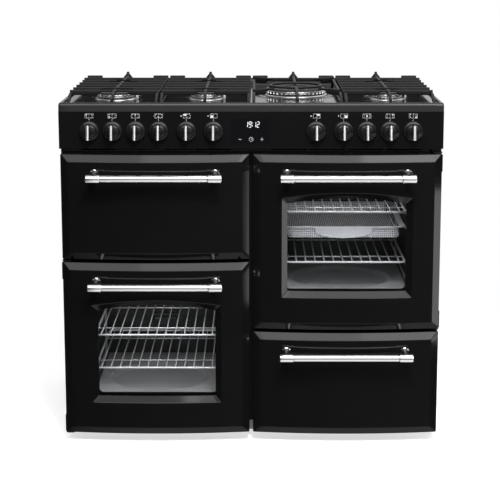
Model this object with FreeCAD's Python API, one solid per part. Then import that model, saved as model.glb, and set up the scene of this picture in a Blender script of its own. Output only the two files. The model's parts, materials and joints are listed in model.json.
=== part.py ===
import FreeCAD, Part
import math
import os

# Range cooker, 100 cm wide: gas hob, grill, two side-opening ovens and a storage drawer.
# Millimetres. X to the right, Z up from the floor. While it is built, Y is the depth behind the
# fascia's front plane; save() then moves all pieces so that the origin is under the middle.

V = FreeCAD.Vector

# ---- overall ----
WIDTH = 1000.0             # over the hob and the side panels
DEPTH = 600.0              # fascia plane to the back of the hob
BACK_SPACE = 30.0          # room for pipe and cable behind the casing
HOB_TOP = 915.0            # rim of the hob above the floor
HANDLE_AXIS = 60.0         # handle bar's axis in front of the fascia plane
HANDLE_END_R = 11.5        # radius of the handle's end ferrules
SHEET = 1.5                # steel sheet of the casing
WALL = 2.0                 # pressed fronts and hob
FIT = 0.3                  # clearance between pieces that move past each other
BODY_FRONT = 40.0          # front frame behind the fascia plane

# ---- base and feet ----
BASE_BOTTOM = 20.0
BASE_HEIGHT = 26.0
FOOT_R = 19.0
FOOT_PAD = 9.0
FOOT_NUT_R = 10.0
FOOT_STEM_R = 6.0
FOOT_INSET_X = 52.0
FOOT_INSET_Y = 82.0

# ---- the four fronts ----
FRONT_MARGIN = 2.5         # side panel's face to the outer edge of a front
FRONT_GAP = 8.5            # between two fronts above each other
COLUMN_GAP = 9.0           # between the two columns
FRONTS_BOTTOM = 26.0
FRONTS_UNDER_VENT = 1.5    # top edge of the upper fronts below the vent strip
SHORT_H = 279.0            # grill door and drawer; the oven doors take the rest of the height
BOW = 17.0                 # how far the middle of a front stands out
BEVEL_W = 19.5
BEVEL_D = 10.0
SKIRT_BACK = 26.0          # back edge of a front's skirt
LINER_BACK = 36.0          # back of the inner panel
OVEN_LINER_INSET = 25.0
GRILL_LINER_INSET = 40.0

# ---- oven windows ----
WINDOW_W = 343.0
WINDOW_BOTTOM = 88.5       # above the door's bottom
WINDOW_SIDE_TOP = 354.0
WINDOW_RISE = 15.5
WINDOW_BEVEL = 15.5
WINDOW_DEPTH = 14.0
GLASS = 4.0
GLASS_LAP = 10.0
INNER_WINDOW_W = 318.0
INNER_WINDOW_BOTTOM = 100.0
INNER_WINDOW_H = 250.0

# ---- handles ----
HANDLE_L = 350.0
HANDLE_R = 9.85
HANDLE_END_L = 36.0
HANDLE_DROP = 56.0         # axis below the front's top edge
HANDLE_SHIFT = 0.5         # handle's middle from its front's middle, inwards
POST_DROP = 9.0
POST_R = (8.0, 10.0)       # post's radius at the bar and at the front

# ---- hinges ----
PIN_R = 4.0
PIN_GAP = 0.1
SIDE_PIVOT_IN = 14.0       # pivot from the door's outer edge
SIDE_PIVOT_Y = 14.0
LUG_T = 3.4
LUG_IN = 26.0
PIN_L = 15.0
TAB_H = 45.0
TAB_T = 2.0
DROP_PIVOT_Y = 2.0         # grill door's pivot behind the fascia plane
DROP_PIVOT_UP = 23.0       # and above the door's bottom edge
DROP_LUG_IN = 26.5         # lugs from the door's edges
DROP_LUG_T = 4.0
DROP_LUG_R = 6.5
DROP_SLOT_UP = 8.0         # height of the slots in the lower skirt and bevel

# ---- fascia ----
FASCIA_DOWN = (23.0, 120.0)    # fascia's edges, below the hob's rim
KNOB_DOWN = 73.0
OVEN_KNOBS_X = (-168.0, -98.0, 169.0, 240.0)
GAS_KNOBS_X = (-420.0, -360.0, -300.0, -240.0, 300.0, 360.0, 420.0)
SPINDLE_R = 4.0
SPINDLE_END = 30.0         # spindle's inner end behind the fascia plane
VALVE_FRONT = 12.0
SPINDLE_HOLE_R = 7.0
KNOB_LIFT = 1.0            # gap between a knob and the fascia
KNOB_SKIRT_R = 26.5
KNOB_DISC_R = 18.5
KNOB_DISC_Y = 20.0
KNOB_GRIP_Y = 45.0
KNOB_GRIP_W = 10.0
KNOB_GRIP_H = 41.0
CLOCK_W = 103.0
CLOCK_DOWN = (41.0, 107.0)

# ---- vent strip under the fascia ----
VENT_H = 12.0
VENT_PITCH = 100.0
VENT_FIRST = 50.0
VENT_RIB = 6.0
VENT_SLOT_H = 7.0

# ---- ovens, grill and drawer spaces ----
OVEN_W = 356.0
OVEN_SHIFT = -5.0          # cavity's middle from its door's middle
OVEN_FLOOR_UP = 92.0       # cavity floor above the door's bottom
OVEN_TOP_DOWN = 44.0       # and its top below the door's top
OVEN_REAR_SPACE = 78.5     # behind a cavity, to the back panel
GRILL_W = 400.0
GRILL_FLOOR_UP = 46.0
GRILL_TOP_DOWN = 47.0
GRILL_REAR_SPACE = 128.5
GRILL_RAIL_UP = 58.0       # pan runners above the grill's floor
GRILL_RAIL_W = 16.0
SEAL = 4.0
BAFFLE_GAP = 46.0          # fan space behind the baffle
FAN_R = 72.0
DRAWER_SIDE_GAP = 22.0
DRAWER_REAR_SPACE = 64.0
DRAWER_HEADROOM = 74.0     # drawer's front is this much taller than its box
DRAWER_BACK_DROP = 60.0    # lower back of the drawer box
SLIDE_W = 5.0
RUNNER_H = 14.0

# ---- racks ----
RACK_SIDE = 13.0           # rack's edge to the cavity's wall
RACK_FRONT = 52.0
ROD_R = 1.7
FRAME_R = 3.0
ROD_PITCH = 25.5
LEFT_RACKS_UP = (163.0, 254.6)
RIGHT_RACKS_UP = (168.5, 304.4)
LADDER_R = 2.5
RING_R = 95.0              # fan's ring element
ELEMENT_R = 4.0
BASKET_UP = 265.0
BASKET_DEEP = 42.0
BASKET_RIM_W = 15.0
BASKET_RIM_T = 3.0
BASKET_PLATE_W = 165.0
BASKET_PLATE_EDGE = 12.0   # straight ends of the front plate
BASKET_PLATE_SAG = 18.0    # and how far its lower edge curves down

# ---- hob ----
HOB_RIM = 7.0
HOB_WELL = 7.0             # how far the well lies below the rim
HOB_LIP = 10.0             # rear upstand above the rim
HOB_LIP_T = 14.0
TRIM_H = 22.6
TRIM_LEAN = 3.0
SUPPORT_MARGIN = 15.05     # beside the outer supports, to the hob's edge
SUPPORT_GAP = 5.3
SUPPORT_FRONT = 122.0
SUPPORT_REAR_SPACE = 48.0
SUPPORT_H = 21.0           # ribs' top above the hob's rim
RIB = 8.0
HORN_H = 11.0              # horn above the ribs
CENTRE_HOLE = 20.0         # free middle of a support over a small burner
FRONT_BURNER_Y = 165.0
REAR_BURNER_IN = 157.0     # rear burners in front of the supports' back
WOK_IN = 276.0             # wok burner in front of it
BURNER_R = {"left": (50.0, 38.0), "middle": (41.0, 33.0), "right": (41.0, 41.0)}
WOK_R = 83.0
CROWN_H = 15.0             # top of the crowns above the well
CAP_H = 20.5
SUPPORT_CLEAR = 22.0       # underside of the ribs above the burners, from the well

# ---- gas pipe and mains box at the back ----
PIPE_R = 8.0
GAS_X = -420.0
GAS_DOWN = 55.0
GAS_THREAD_R = 10.48       # half-inch taper thread
GAS_THREAD_L = 18.0
BOX_X = 380.0
BOX_Z = 560.0
BOX_W = 96.0
BOX_H = 74.0
BOX_D = 24.0
WIRE_HOLE_R = 10.0
CABLE_R = 7.0
GLAND_R = 11.0
GLAND_L = 20.0
TAP_W = 26.0
SWITCH_W = 36.0

# ---- worked out from the values above ----
FRONT_REACH = HANDLE_AXIS + HANDLE_END_R
Y_SHIFT = (FRONT_REACH - DEPTH) / 2.0
HALF = WIDTH / 2.0
FRONT_W = HALF - COLUMN_GAP / 2.0 - FRONT_MARGIN
COLUMN_X = (COLUMN_GAP + FRONT_W) / 2.0
BOW_R = FRONT_W ** 2 / (8.0 * BOW) + BOW / 2.0
FASCIA_TOP = HOB_TOP - FASCIA_DOWN[0]
FASCIA_BOTTOM = HOB_TOP - FASCIA_DOWN[1]
KNOB_Z = HOB_TOP - KNOB_DOWN
CLOCK_TOP = HOB_TOP - CLOCK_DOWN[0]
CLOCK_BOTTOM = HOB_TOP - CLOCK_DOWN[1]
VENT_TOP = FASCIA_BOTTOM
VENT_BOTTOM = VENT_TOP - VENT_H
TRIM_BOTTOM = HOB_TOP - TRIM_H
FRONTS_TOP = VENT_BOTTOM - FRONTS_UNDER_VENT
TALL_H = FRONTS_TOP - FRONTS_BOTTOM - FRONT_GAP - SHORT_H
LEFT_OVEN_Z = FRONTS_BOTTOM
GRILL_Z = FRONTS_BOTTOM + TALL_H + FRONT_GAP
DRAWER_Z = FRONTS_BOTTOM
RIGHT_OVEN_Z = FRONTS_BOTTOM + SHORT_H + FRONT_GAP
CASING_TOP = TRIM_BOTTOM
CASE_BACK = DEPTH - BACK_SPACE
PIPE_Y = VALVE_FRONT + 46.0
PIPE_Z = KNOB_Z - 24.0
WELL_Z = HOB_TOP - HOB_WELL
GAS_Z = HOB_TOP - GAS_DOWN
CAVITY_Y = BODY_FRONT + SHEET
OVEN_X = (-COLUMN_X + OVEN_SHIFT, COLUMN_X + OVEN_SHIFT)
OVEN_DEPTH = CASE_BACK - CAVITY_Y - OVEN_REAR_SPACE
GRILL_DEPTH = CASE_BACK - CAVITY_Y - GRILL_REAR_SPACE
DRAWER_DEPTH = CASE_BACK - LINER_BACK - DRAWER_REAR_SPACE
BAFFLE_Y = CAVITY_Y + OVEN_DEPTH - BAFFLE_GAP
DROP_LUG_X = FRONT_W / 2.0 - DROP_LUG_IN
RACK_W = OVEN_W - 2.0 * RACK_SIDE
DRAWER_H = SHORT_H - DRAWER_HEADROOM
HANDLE_OFFSET = COLUMN_X - HANDLE_SHIFT
SUPPORT_W = (WIDTH - 2.0 * SUPPORT_MARGIN - 3.0 * SUPPORT_GAP) / 4.0
SUPPORT_BACK = DEPTH - SUPPORT_REAR_SPACE
SUPPORT_TOP = HOB_TOP + SUPPORT_H
HORN_TOP = SUPPORT_TOP + HORN_H
SIDE_BURNER_Y = (FRONT_BURNER_Y, SUPPORT_BACK - REAR_BURNER_IN)
WOK_Y = SUPPORT_BACK - WOK_IN
SUPPORT_X = [(i - 1.5) * (SUPPORT_W + SUPPORT_GAP) for i in range(4)]
UP = V(0, 0, 1)


# ---- small helpers ----
def block(x0, x1, y0, y1, z0, z1):
    """A box between two corners."""
    return Part.makeBox(x1 - x0, y1 - y0, z1 - z0, V(x0, y0, z0))


def rod(start, end, radius):
    """A round rod between two points."""
    a, b = V(*start), V(*end)
    return Part.makeCylinder(radius, (b - a).Length, a, b - a)


def wire(start, end, radius):
    """A six-sided wire between two points, with a flat side up."""
    a, b = V(*start), V(*end)
    along = b - a
    side = V(1, 0, 0) if abs(along.z) > along.Length / 2 else along.cross(UP).normalize()
    over = side.cross(along).normalize()
    corner = radius / math.cos(math.pi / 6)
    turns = [k * math.pi / 3 for k in range(6)]
    points = [a + side * (corner * math.cos(t)) + over * (corner * math.sin(t)) for t in turns]
    return Part.Face(Part.makePolygon(points + [points[0]])).extrude(along)


def eight_sided(start, end, radius):
    """A straight bar of eight sides whose corners lie on a radius, along Y or Z."""
    a, b = V(*start), V(*end)
    over = UP if abs((b - a).y) > abs((b - a).z) else V(0, 1, 0)
    turns = [(k + 0.5) * math.pi / 4 for k in range(8)]
    points = [a + V(radius * math.cos(t), 0, 0) + over * (radius * math.sin(t)) for t in turns]
    return Part.Face(Part.makePolygon(points + [points[0]])).extrude(b - a)


def prism(points, push):
    """The flat outline through points, pushed along a vector."""
    outline = Part.makePolygon([V(*p) for p in points] + [V(*points[0])])
    return Part.Face(outline).extrude(V(*push))


def side_plate(x, thick, outline):
    """A plate square to X, from a (depth, height) outline, centred on x."""
    return prism([(x - thick / 2, y, z) for y, z in outline], (thick, 0, 0))


def cross_plate(y, thick, outline):
    """A plate square to Y, from an (x, height) outline, centred on y."""
    return prism([(x, y - thick / 2, z) for x, z in outline], (0, thick, 0))


def turned(x, y, z, profile, axis="Z"):
    """A solid of revolution from (radius, height) points, about Z up or about Y forwards."""
    points = [V(r, 0, h) for r, h in profile]
    solid = Part.Face(Part.makePolygon(points + [points[0]])).revolve(V(0, 0, 0), UP, 360)
    if axis == "Y":
        solid.rotate(V(0, 0, 0), V(1, 0, 0), 90)
    solid.translate(V(x, y, z))
    return solid


def faceted(x, y, z, profile, sides):
    """A ring-shaped solid about Z with flat sides, from (radius, height) points off the axis."""
    turns = [2 * math.pi * k / sides for k in range(sides)]
    rings = [[V(r * math.cos(t), r * math.sin(t), h) for t in turns] for r, h in profile]
    faces = []
    for near, far in zip(rings, rings[1:] + rings[:1]):
        for k in range(sides):
            quad = [near[k - 1], near[k], far[k], far[k - 1], near[k - 1]]
            faces.append(Part.Face(Part.makePolygon(quad)))
    solid = closed_solid(faces).removeSplitter()
    solid.translate(V(x, y, z))
    return solid


def closed_solid(faces):
    """A solid inside faces that meet edge to edge."""
    shell = Part.makeShell(faces)
    shell.sewShape()
    solid = Part.makeSolid(shell)
    if solid.Volume < 0:
        solid.reverse()
    return solid


def fuse(pieces):
    """One solid out of touching pieces."""
    return pieces[0].multiFuse(pieces[1:]).removeSplitter() if len(pieces) > 1 else pieces[0]


def cut(piece, tools):
    """A piece less a list of tools."""
    return piece.cut(Part.makeCompound(tools)) if tools else piece


def save(node, pieces):
    """Write one node; pieces are its separate solids."""
    shape = Part.makeCompound([s for p in pieces for s in p.Solids])
    shape.translate(V(0, Y_SHIFT, 0))
    shape.exportStep(f"parts/{node}.step")


# ---- bowed fronts ----
def bow_y(x, stand):
    """Depth of the bowed surface that lies stand in front of the rim's curve."""
    return BOW_R - BOW - math.sqrt((BOW_R + stand) ** 2 - x * x)


def bow_ring(cx, half, z0, z1, stand):
    """Four edges of a rectangle wrapped round the bow."""
    def at(x, z):
        return V(cx + x, bow_y(x, stand), z)
    return [Part.Arc(at(-half, z0), at(0, z0), at(half, z0)).toShape(),
            Part.LineSegment(at(half, z0), at(half, z1)).toShape(),
            Part.Arc(at(half, z1), at(0, z1), at(-half, z1)).toShape(),
            Part.LineSegment(at(-half, z1), at(-half, z0)).toShape()]


def flat_ring(cx, half, z0, z1, y):
    """Four edges of a flat rectangle at one depth."""
    corners = [V(cx - half, y, z0), V(cx + half, y, z0), V(cx + half, y, z1), V(cx - half, y, z1)]
    return [Part.LineSegment(corners[i], corners[(i + 1) % 4]).toShape() for i in range(4)]


def ringed_solid(rings):
    """A solid through successive rings of four edges, with a face over each end."""
    faces = []
    for near, far in zip(rings, rings[1:]):
        faces += [Part.makeRuledSurface(a, b) for a, b in zip(near, far)]
    faces += [Part.makeRuledSurface(ring[0], ring[2]) for ring in (rings[0], rings[-1])]
    return closed_solid(faces)


def front_form(cx, z0, height, inner=0.0, back=SKIRT_BACK):
    """The outer form of a front: bowed face, bevelled edge and straight skirt."""
    half = FRONT_W / 2 - inner
    bevel = BEVEL_W - inner / 2
    low, high = z0 + inner, z0 + height - inner
    face = bow_ring(cx, half - bevel, low + bevel, high - bevel, BEVEL_D - inner)
    rim = bow_ring(cx, half, low, high, -inner * 0.6)
    return ringed_solid([face, rim, flat_ring(cx, half, low, high, back)])


def front_shell(cx, z0, height):
    """The pressed skin of a front, open at the back."""
    return front_form(cx, z0, height).cut(front_form(cx, z0, height, WALL, SKIRT_BACK + 1))


def bowed_slab(cx, half, z0, z1, near, far):
    """A plate that follows the bow, between two distances in front of the rim's curve."""
    return ringed_solid([bow_ring(cx, half, z0, z1, near), bow_ring(cx, half, z0, z1, far)])


def window_wire(cx, z0, grow, stand=None, y=0.0):
    """A door window's outline: straight sides and a top that rises in one arch."""
    half = WINDOW_W / 2 + grow
    low = z0 + WINDOW_BOTTOM - grow
    shoulder = z0 + WINDOW_SIDE_TOP + grow

    def at(x, z):
        return V(cx + x, y if stand is None else bow_y(x, stand), z)
    steps = [half * (1 - i / 4) for i in range(9)]
    arch = Part.BSplineCurve()
    arch.interpolate([at(x, shoulder + WINDOW_RISE * (1 - (x / half) ** 2)) for x in steps])
    if stand is None:
        base = Part.LineSegment(at(-half, low), at(half, low)).toShape()
    else:
        base = Part.Arc(at(-half, low), at(0, low), at(half, low)).toShape()
    return Part.Wire([base, Part.LineSegment(at(half, low), at(half, shoulder)).toShape(),
                      arch.toShape(), Part.LineSegment(at(-half, shoulder), at(-half, low)).toShape()])


def window_funnel(cx, z0, grow, near, far):
    """The tapered recess of a window between two distances in front of the rim's curve."""
    slope = WINDOW_BEVEL / WINDOW_DEPTH
    wires = [window_wire(cx, z0, grow + (s - BEVEL_D) * slope, s) for s in (near, far)]
    walls = Part.makeLoft(wires, False, True)
    return closed_solid(list(walls.Faces) + [Part.makeFilledFace(w.Edges) for w in wires])


def window_prism(cx, z0, grow):
    """The window's outline pushed straight through the door."""
    return Part.Face(window_wire(cx, z0, grow, None, -80.0)).extrude(V(0, 160, 0))


# ---- doors ----
def liner(cx, z0, height, inset, window):
    """The inner panel of a front: a flange inside the skirt and a raised tray behind it."""
    half = FRONT_W / 2
    x0, x1 = cx - half + WALL, cx + half - WALL
    plate = block(x0, x1, SKIRT_BACK - WALL, SKIRT_BACK, z0 + WALL, z0 + height - WALL)
    bx0, bx1 = cx - half + inset, cx + half - inset
    bz0, bz1 = z0 + OVEN_LINER_INSET, z0 + height - OVEN_LINER_INSET
    tray = block(bx0, bx1, SKIRT_BACK, LINER_BACK, bz0, bz1)
    tray = tray.makeFillet(6.0, [e for e in tray.Edges if abs(e.tangentAt(e.FirstParameter).y) > 0.9])
    hollow = block(bx0 + SHEET, bx1 - SHEET, SKIRT_BACK - WALL - 1, LINER_BACK - SHEET,
                   bz0 + SHEET, bz1 - SHEET)
    panel = fuse([plate, tray]).cut(hollow)
    return panel.cut(window) if window else panel


def inner_window(cx, z0):
    """The opening in the inner panel."""
    half = INNER_WINDOW_W / 2
    low = z0 + INNER_WINDOW_BOTTOM
    hole = block(cx - half, cx + half, SKIRT_BACK, LINER_BACK + 5, low, low + INNER_WINDOW_H)
    return hole.makeFillet(12.0, [e for e in hole.Edges if abs(e.tangentAt(e.FirstParameter).y) > 0.9])


def handle(cx, front_z, height, solid_front):
    """A bar with two end ferrules on posts that stand on the bowed face."""
    z = front_z + height - HANDLE_DROP
    y = -HANDLE_AXIS
    half = HANDLE_L / 2
    bar = rod((cx - half + HANDLE_END_L, y, z), (cx + half - HANDLE_END_L, y, z), HANDLE_R)
    ends = []
    for side in (-1, 1):
        tip = cx + side * half
        profile = [(0, 0), (HANDLE_END_R - 1.5, 0), (HANDLE_END_R, 1.5), (HANDLE_END_R, HANDLE_END_L),
                   (0, HANDLE_END_L)]
        ferrule = turned(0, 0, 0, profile)
        ferrule.rotate(V(0, 0, 0), V(0, 1, 0), -90 * side)
        ferrule.translate(V(tip, y, z))
        px = tip - side * HANDLE_END_L / 2
        ends_of_post = []
        for r, place in zip(POST_R, (V(px, y, z), V(px, -SHEET, z + POST_DROP))):
            corners = [place + V(r * math.cos(k * math.pi / 6), 0, r * math.sin(k * math.pi / 6))
                       for k in range(13)]
            ends_of_post.append(Part.makePolygon(corners))
        post = Part.makeLoft(ends_of_post, True, True)
        ends.append(fuse([ferrule, post]).cut(solid_front))
    return [bar] + [max(e.Solids, key=lambda s: s.Volume) for e in ends]


def oven_door(name, cx, side, z0):
    """A side-opening oven door: skin, glasses, inner panel and handle."""
    skin = front_shell(cx, z0, TALL_H)
    collar = window_funnel(cx, z0, WALL, BEVEL_D - 1, BEVEL_D - WINDOW_DEPTH)
    pivot_x = cx + side * (FRONT_W / 2 - SIDE_PIVOT_IN)
    edge_x = cx + side * FRONT_W / 2
    bushes = []
    tabs = []
    for low, high in ((z0, z0 + PIN_L + 3), (z0 + TALL_H - PIN_L - 3, z0 + TALL_H)):
        bushes.append(block(pivot_x - 7, pivot_x + 7, SIDE_PIVOT_Y - 8, SKIRT_BACK - WALL, low, high))
    for low in (z0 + 2, z0 + TALL_H - TAB_H - 2):
        tabs.append(block(min(edge_x, edge_x + side * TAB_T), max(edge_x, edge_x + side * TAB_T),
                          2, SKIRT_BACK - 2, low, low + TAB_H))
    skin = fuse([skin, collar] + bushes + tabs)
    pin = [rod((pivot_x, SIDE_PIVOT_Y, z), (pivot_x, SIDE_PIVOT_Y, z + PIN_L + 2), PIN_R + PIN_GAP)
           for z in (z0 - 1, z0 + TALL_H - PIN_L - 1)]
    skin = cut(skin, [window_funnel(cx, z0, 0, BEVEL_D + 6, BEVEL_D - WINDOW_DEPTH - 1)] + pin)
    near = BEVEL_D - WINDOW_DEPTH
    glass_half = WINDOW_W / 2 + 4
    pane = bowed_slab(cx, glass_half, z0 + WINDOW_BOTTOM - 8, z0 + WINDOW_SIDE_TOP + WINDOW_RISE + 8,
                      near, near - GLASS)
    pane = pane.common(window_prism(cx, z0, GLASS_LAP - WINDOW_BEVEL))
    half = INNER_WINDOW_W / 2 + GLASS_LAP
    low = z0 + INNER_WINDOW_BOTTOM - GLASS_LAP
    inner = block(cx - half, cx + half, LINER_BACK - SHEET - GLASS, LINER_BACK - SHEET,
                  low, low + INNER_WINDOW_H + 2 * GLASS_LAP)
    save(f"{name}_door_skin", [skin])
    save(f"{name}_door_glasses", [pane, inner])
    save(f"{name}_door_inner_panel", [liner(cx, z0, TALL_H, OVEN_LINER_INSET, inner_window(cx, z0))])
    save(f"{name}_door_handle", handle(side * HANDLE_OFFSET, z0, TALL_H, front_form(cx, z0, TALL_H)))


def grill_door():
    """The drop-down grill door, with slots in its lower skirt for the fixed hinge arms."""
    cx, z0 = -COLUMN_X, GRILL_Z
    skin = front_shell(cx, z0, SHORT_H)
    slots = []
    bushes = []
    pins = []
    for side in (-1, 1):
        x = cx + side * DROP_LUG_X
        reach = DROP_LUG_T / 2 + 1.5
        slots.append(block(x - reach, x + reach, -14, SKIRT_BACK + 1, z0 - 1, z0 + DROP_SLOT_UP))
        inner = x - side * reach
        far = inner - side * 12
        y0, y1 = DROP_PIVOT_Y - 9, SKIRT_BACK - WALL
        zp = z0 + DROP_PIVOT_UP
        bushes.append(block(min(inner, far), max(inner, far), y0, y1, z0 + WALL / 2, zp + 9))
        pins.append(rod((x - 12, DROP_PIVOT_Y, zp), (x + 12, DROP_PIVOT_Y, zp), 3 + PIN_GAP))
    skin = cut(fuse([skin] + bushes), slots + pins)
    panel = liner(cx, z0, SHORT_H, GRILL_LINER_INSET, None)
    notches = [block(cx + s * DROP_LUG_X - 4, cx + s * DROP_LUG_X + 4, SKIRT_BACK - WALL - 1, SKIRT_BACK + 1,
                     z0, z0 + DROP_PIVOT_UP + DROP_LUG_R + 4) for s in (-1, 1)]
    save("grill_door_skin", [skin])
    save("grill_door_inner_panel", [cut(panel, notches)])
    save("grill_door_handle", handle(-HANDLE_OFFSET, z0, SHORT_H, front_form(cx, z0, SHORT_H)))


def drawer():
    """The storage drawer: front, open steel box and handle."""
    cx, z0 = COLUMN_X, DRAWER_Z
    panel = liner(cx, z0, SHORT_H, OVEN_LINER_INSET, None)
    x0, x1 = cx - FRONT_W / 2 + DRAWER_SIDE_GAP + 6, cx + FRONT_W / 2 - DRAWER_SIDE_GAP - 6
    low = z0 + OVEN_LINER_INSET + 2
    y0, y1 = LINER_BACK, LINER_BACK + DRAWER_DEPTH
    floor = low + SHEET
    box = [block(x0, x1, y0, y1, low, floor),
           block(x0, x0 + SHEET, y0, y1, floor, low + DRAWER_H),
           block(x1 - SHEET, x1, y0, y1, floor, low + DRAWER_H),
           block(x0 + SHEET, x1 - SHEET, y0, y0 + SHEET, floor, low + DRAWER_H),
           block(x0 + SHEET, x1 - SHEET, y1 - SHEET, y1, floor, low + DRAWER_H - DRAWER_BACK_DROP)]
    slides = [block(a, a + SLIDE_W, BODY_FRONT + 12, y1 - 10, low + 80 + FIT, low + 80 + RUNNER_H - FIT)
              for a in (x0 - SLIDE_W, x1)]
    save("drawer_front", [front_shell(cx, z0, SHORT_H), panel])
    save("drawer_box", box + slides)
    save("drawer_handle", handle(HANDLE_OFFSET, z0, SHORT_H, front_form(cx, z0, SHORT_H)))
    runners = []
    zr = low + 80
    for edge, wall_x in ((x0, SHEET / 2), (x1, HALF - SHEET)):
        side = 1 if wall_x > edge else -1
        near = edge + side * FIT
        rail = block(min(near, wall_x), max(near, wall_x), BODY_FRONT + SHEET + 6, LINER_BACK + DRAWER_DEPTH,
                     zr - 5, zr + RUNNER_H + 5)
        deep = near + side * (SLIDE_W + FIT)
        groove = block(min(near, deep), max(near, deep),
                       BODY_FRONT, LINER_BACK + DRAWER_DEPTH + 1, zr, zr + RUNNER_H)
        core = block(min(near + side * 8, wall_x - side * SHEET), max(near + side * 8, wall_x - side * SHEET),
                     BODY_FRONT, LINER_BACK + DRAWER_DEPTH + 1, zr - 3.5, zr + RUNNER_H + 3.5)
        runners.append(rail.cut(groove).cut(core))
    save("drawer_runners", runners)


def hinge_brackets():
    """Fixed lugs: four with upright pins for the oven doors, two arms for the grill door."""
    pieces = []
    for side, z0 in ((-1, LEFT_OVEN_Z), (1, RIGHT_OVEN_Z)):
        px = side * (COLUMN_X + FRONT_W / 2 - SIDE_PIVOT_IN)
        outer = side * (HALF - 1)
        inner = side * (HALF - LUG_IN)
        for z, pin_up in ((z0 - LUG_T - 0.7, True), (z0 + TALL_H + 0.7, False)):
            lug = block(min(outer, inner), max(outer, inner), 4, BODY_FRONT, z, z + LUG_T)
            lug = lug.makeFillet(8.0, [e for e in lug.Edges
                                       if abs(e.tangentAt(e.FirstParameter).z) > 0.9
                                       and e.BoundBox.YMax < 10])
            base = (px, SIDE_PIVOT_Y, z + LUG_T) if pin_up else (px, SIDE_PIVOT_Y, z)
            tip = (px, SIDE_PIVOT_Y, base[2] + (PIN_L if pin_up else -PIN_L))
            pieces.append(fuse([lug, rod(base, tip, PIN_R)]))
    zp = GRILL_Z + DROP_PIVOT_UP
    for side in (-1, 1):
        x = -COLUMN_X + side * DROP_LUG_X
        arm = block(x - DROP_LUG_T / 2, x + DROP_LUG_T / 2, DROP_PIVOT_Y, BODY_FRONT,
                    zp - DROP_LUG_R, zp + DROP_LUG_R)
        eye = rod((x - DROP_LUG_T / 2, DROP_PIVOT_Y, zp), (x + DROP_LUG_T / 2, DROP_PIVOT_Y, zp), DROP_LUG_R)
        tip = x - side * (DROP_LUG_T / 2 + 9)
        pieces.append(fuse([arm, eye, rod((x, DROP_PIVOT_Y, zp), (tip, DROP_PIVOT_Y, zp), 3.0)]))
    return pieces


# ---- casing ----
def casing():
    """Base, feet, sides, back, front frame and inner partitions."""
    tray = block(-HALF + SHEET, HALF - SHEET, BODY_FRONT, CASE_BACK - SHEET,
                 BASE_BOTTOM, BASE_BOTTOM + BASE_HEIGHT)
    hollow = block(-HALF + 2 * SHEET, HALF - 2 * SHEET, BODY_FRONT + SHEET, CASE_BACK - 2 * SHEET,
                   BASE_BOTTOM + WALL, BASE_BOTTOM + BASE_HEIGHT + 1)
    stems = [(sx * (HALF - FOOT_INSET_X), y) for sx in (-1, 1)
             for y in (BODY_FRONT + FOOT_INSET_Y, CASE_BACK - FOOT_INSET_Y)]
    holes = [rod((x, y, BASE_BOTTOM - 1), (x, y, BASE_BOTTOM + 5), FOOT_STEM_R) for x, y in stems]
    save("base_tray", [cut(tray.cut(hollow), holes)])
    profile = [(0, 0), (FOOT_R, 0), (FOOT_R, 4), (FOOT_NUT_R, FOOT_PAD), (0, FOOT_PAD)]
    save("levelling_feet", [fuse([turned(x, y, 0, profile),
                                  eight_sided((x, y, FOOT_PAD), (x, y, BASE_BOTTOM), FOOT_NUT_R),
                                  eight_sided((x, y, BASE_BOTTOM), (x, y, BASE_BOTTOM + 16), FOOT_STEM_R)])
                            for x, y in stems])
    sides = []
    for s in (-1, 1):
        x = s * (HALF - SHEET)
        skin = block(min(x, s * HALF), max(x, s * HALF), BODY_FRONT, CASE_BACK, BASE_BOTTOM, CASING_TOP)
        fold = s * (HALF - SHEET - 16)
        folds = [block(min(x, fold), max(x, fold), a, a + SHEET, BASE_BOTTOM + BASE_HEIGHT + 0.5, CASING_TOP)
                 for a in (BODY_FRONT + SHEET, CASE_BACK - 2 * SHEET)]
        sides.append(fuse([skin] + folds))
    save("side_panels", sides)
    back = block(-HALF + SHEET, HALF - SHEET, CASE_BACK - SHEET, CASE_BACK, BASE_BOTTOM, CASING_TOP)
    louvres = [block(x, x + 60, CASE_BACK - 5, CASE_BACK + 5, z, z + 6)
               for x in (-400, -320, -240, 180, 260, 340) for z in (300, 318, 336, 700, 718, 736)]
    wire_hole = rod((BOX_X, CASE_BACK - 10, BOX_Z + 20), (BOX_X, CASE_BACK + 10, BOX_Z + 20), WIRE_HOLE_R)
    gas_hole = rod((GAS_X, CASE_BACK - 10, GAS_Z), (GAS_X, CASE_BACK + 10, GAS_Z), PIPE_R + FIT)
    save("back_panel", [cut(back, louvres + [wire_hole, gas_hole])])
    save("front_frame", front_frame())
    upright = block(-SHEET / 2, SHEET / 2, BODY_FRONT + SHEET, CASE_BACK - SHEET,
                    BASE_BOTTOM + BASE_HEIGHT, CASING_TOP)
    shelves = []
    for s, z in ((-1, GRILL_Z - 5), (1, RIGHT_OVEN_Z - 5)):
        shelf = block(min(s * SHEET / 2, s * (HALF - SHEET)), max(s * SHEET / 2, s * (HALF - SHEET)),
                      BODY_FRONT + 2 * SHEET + 1, CASE_BACK - 2 * SHEET - 1, z, z + SHEET)
        shelves.append(shelf)
    pipe_hole = rod((-5, PIPE_Y, PIPE_Z), (5, PIPE_Y, PIPE_Z), PIPE_R + FIT)
    save("partition_panels", [fuse([upright] + shelves).cut(pipe_hole)])


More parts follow.
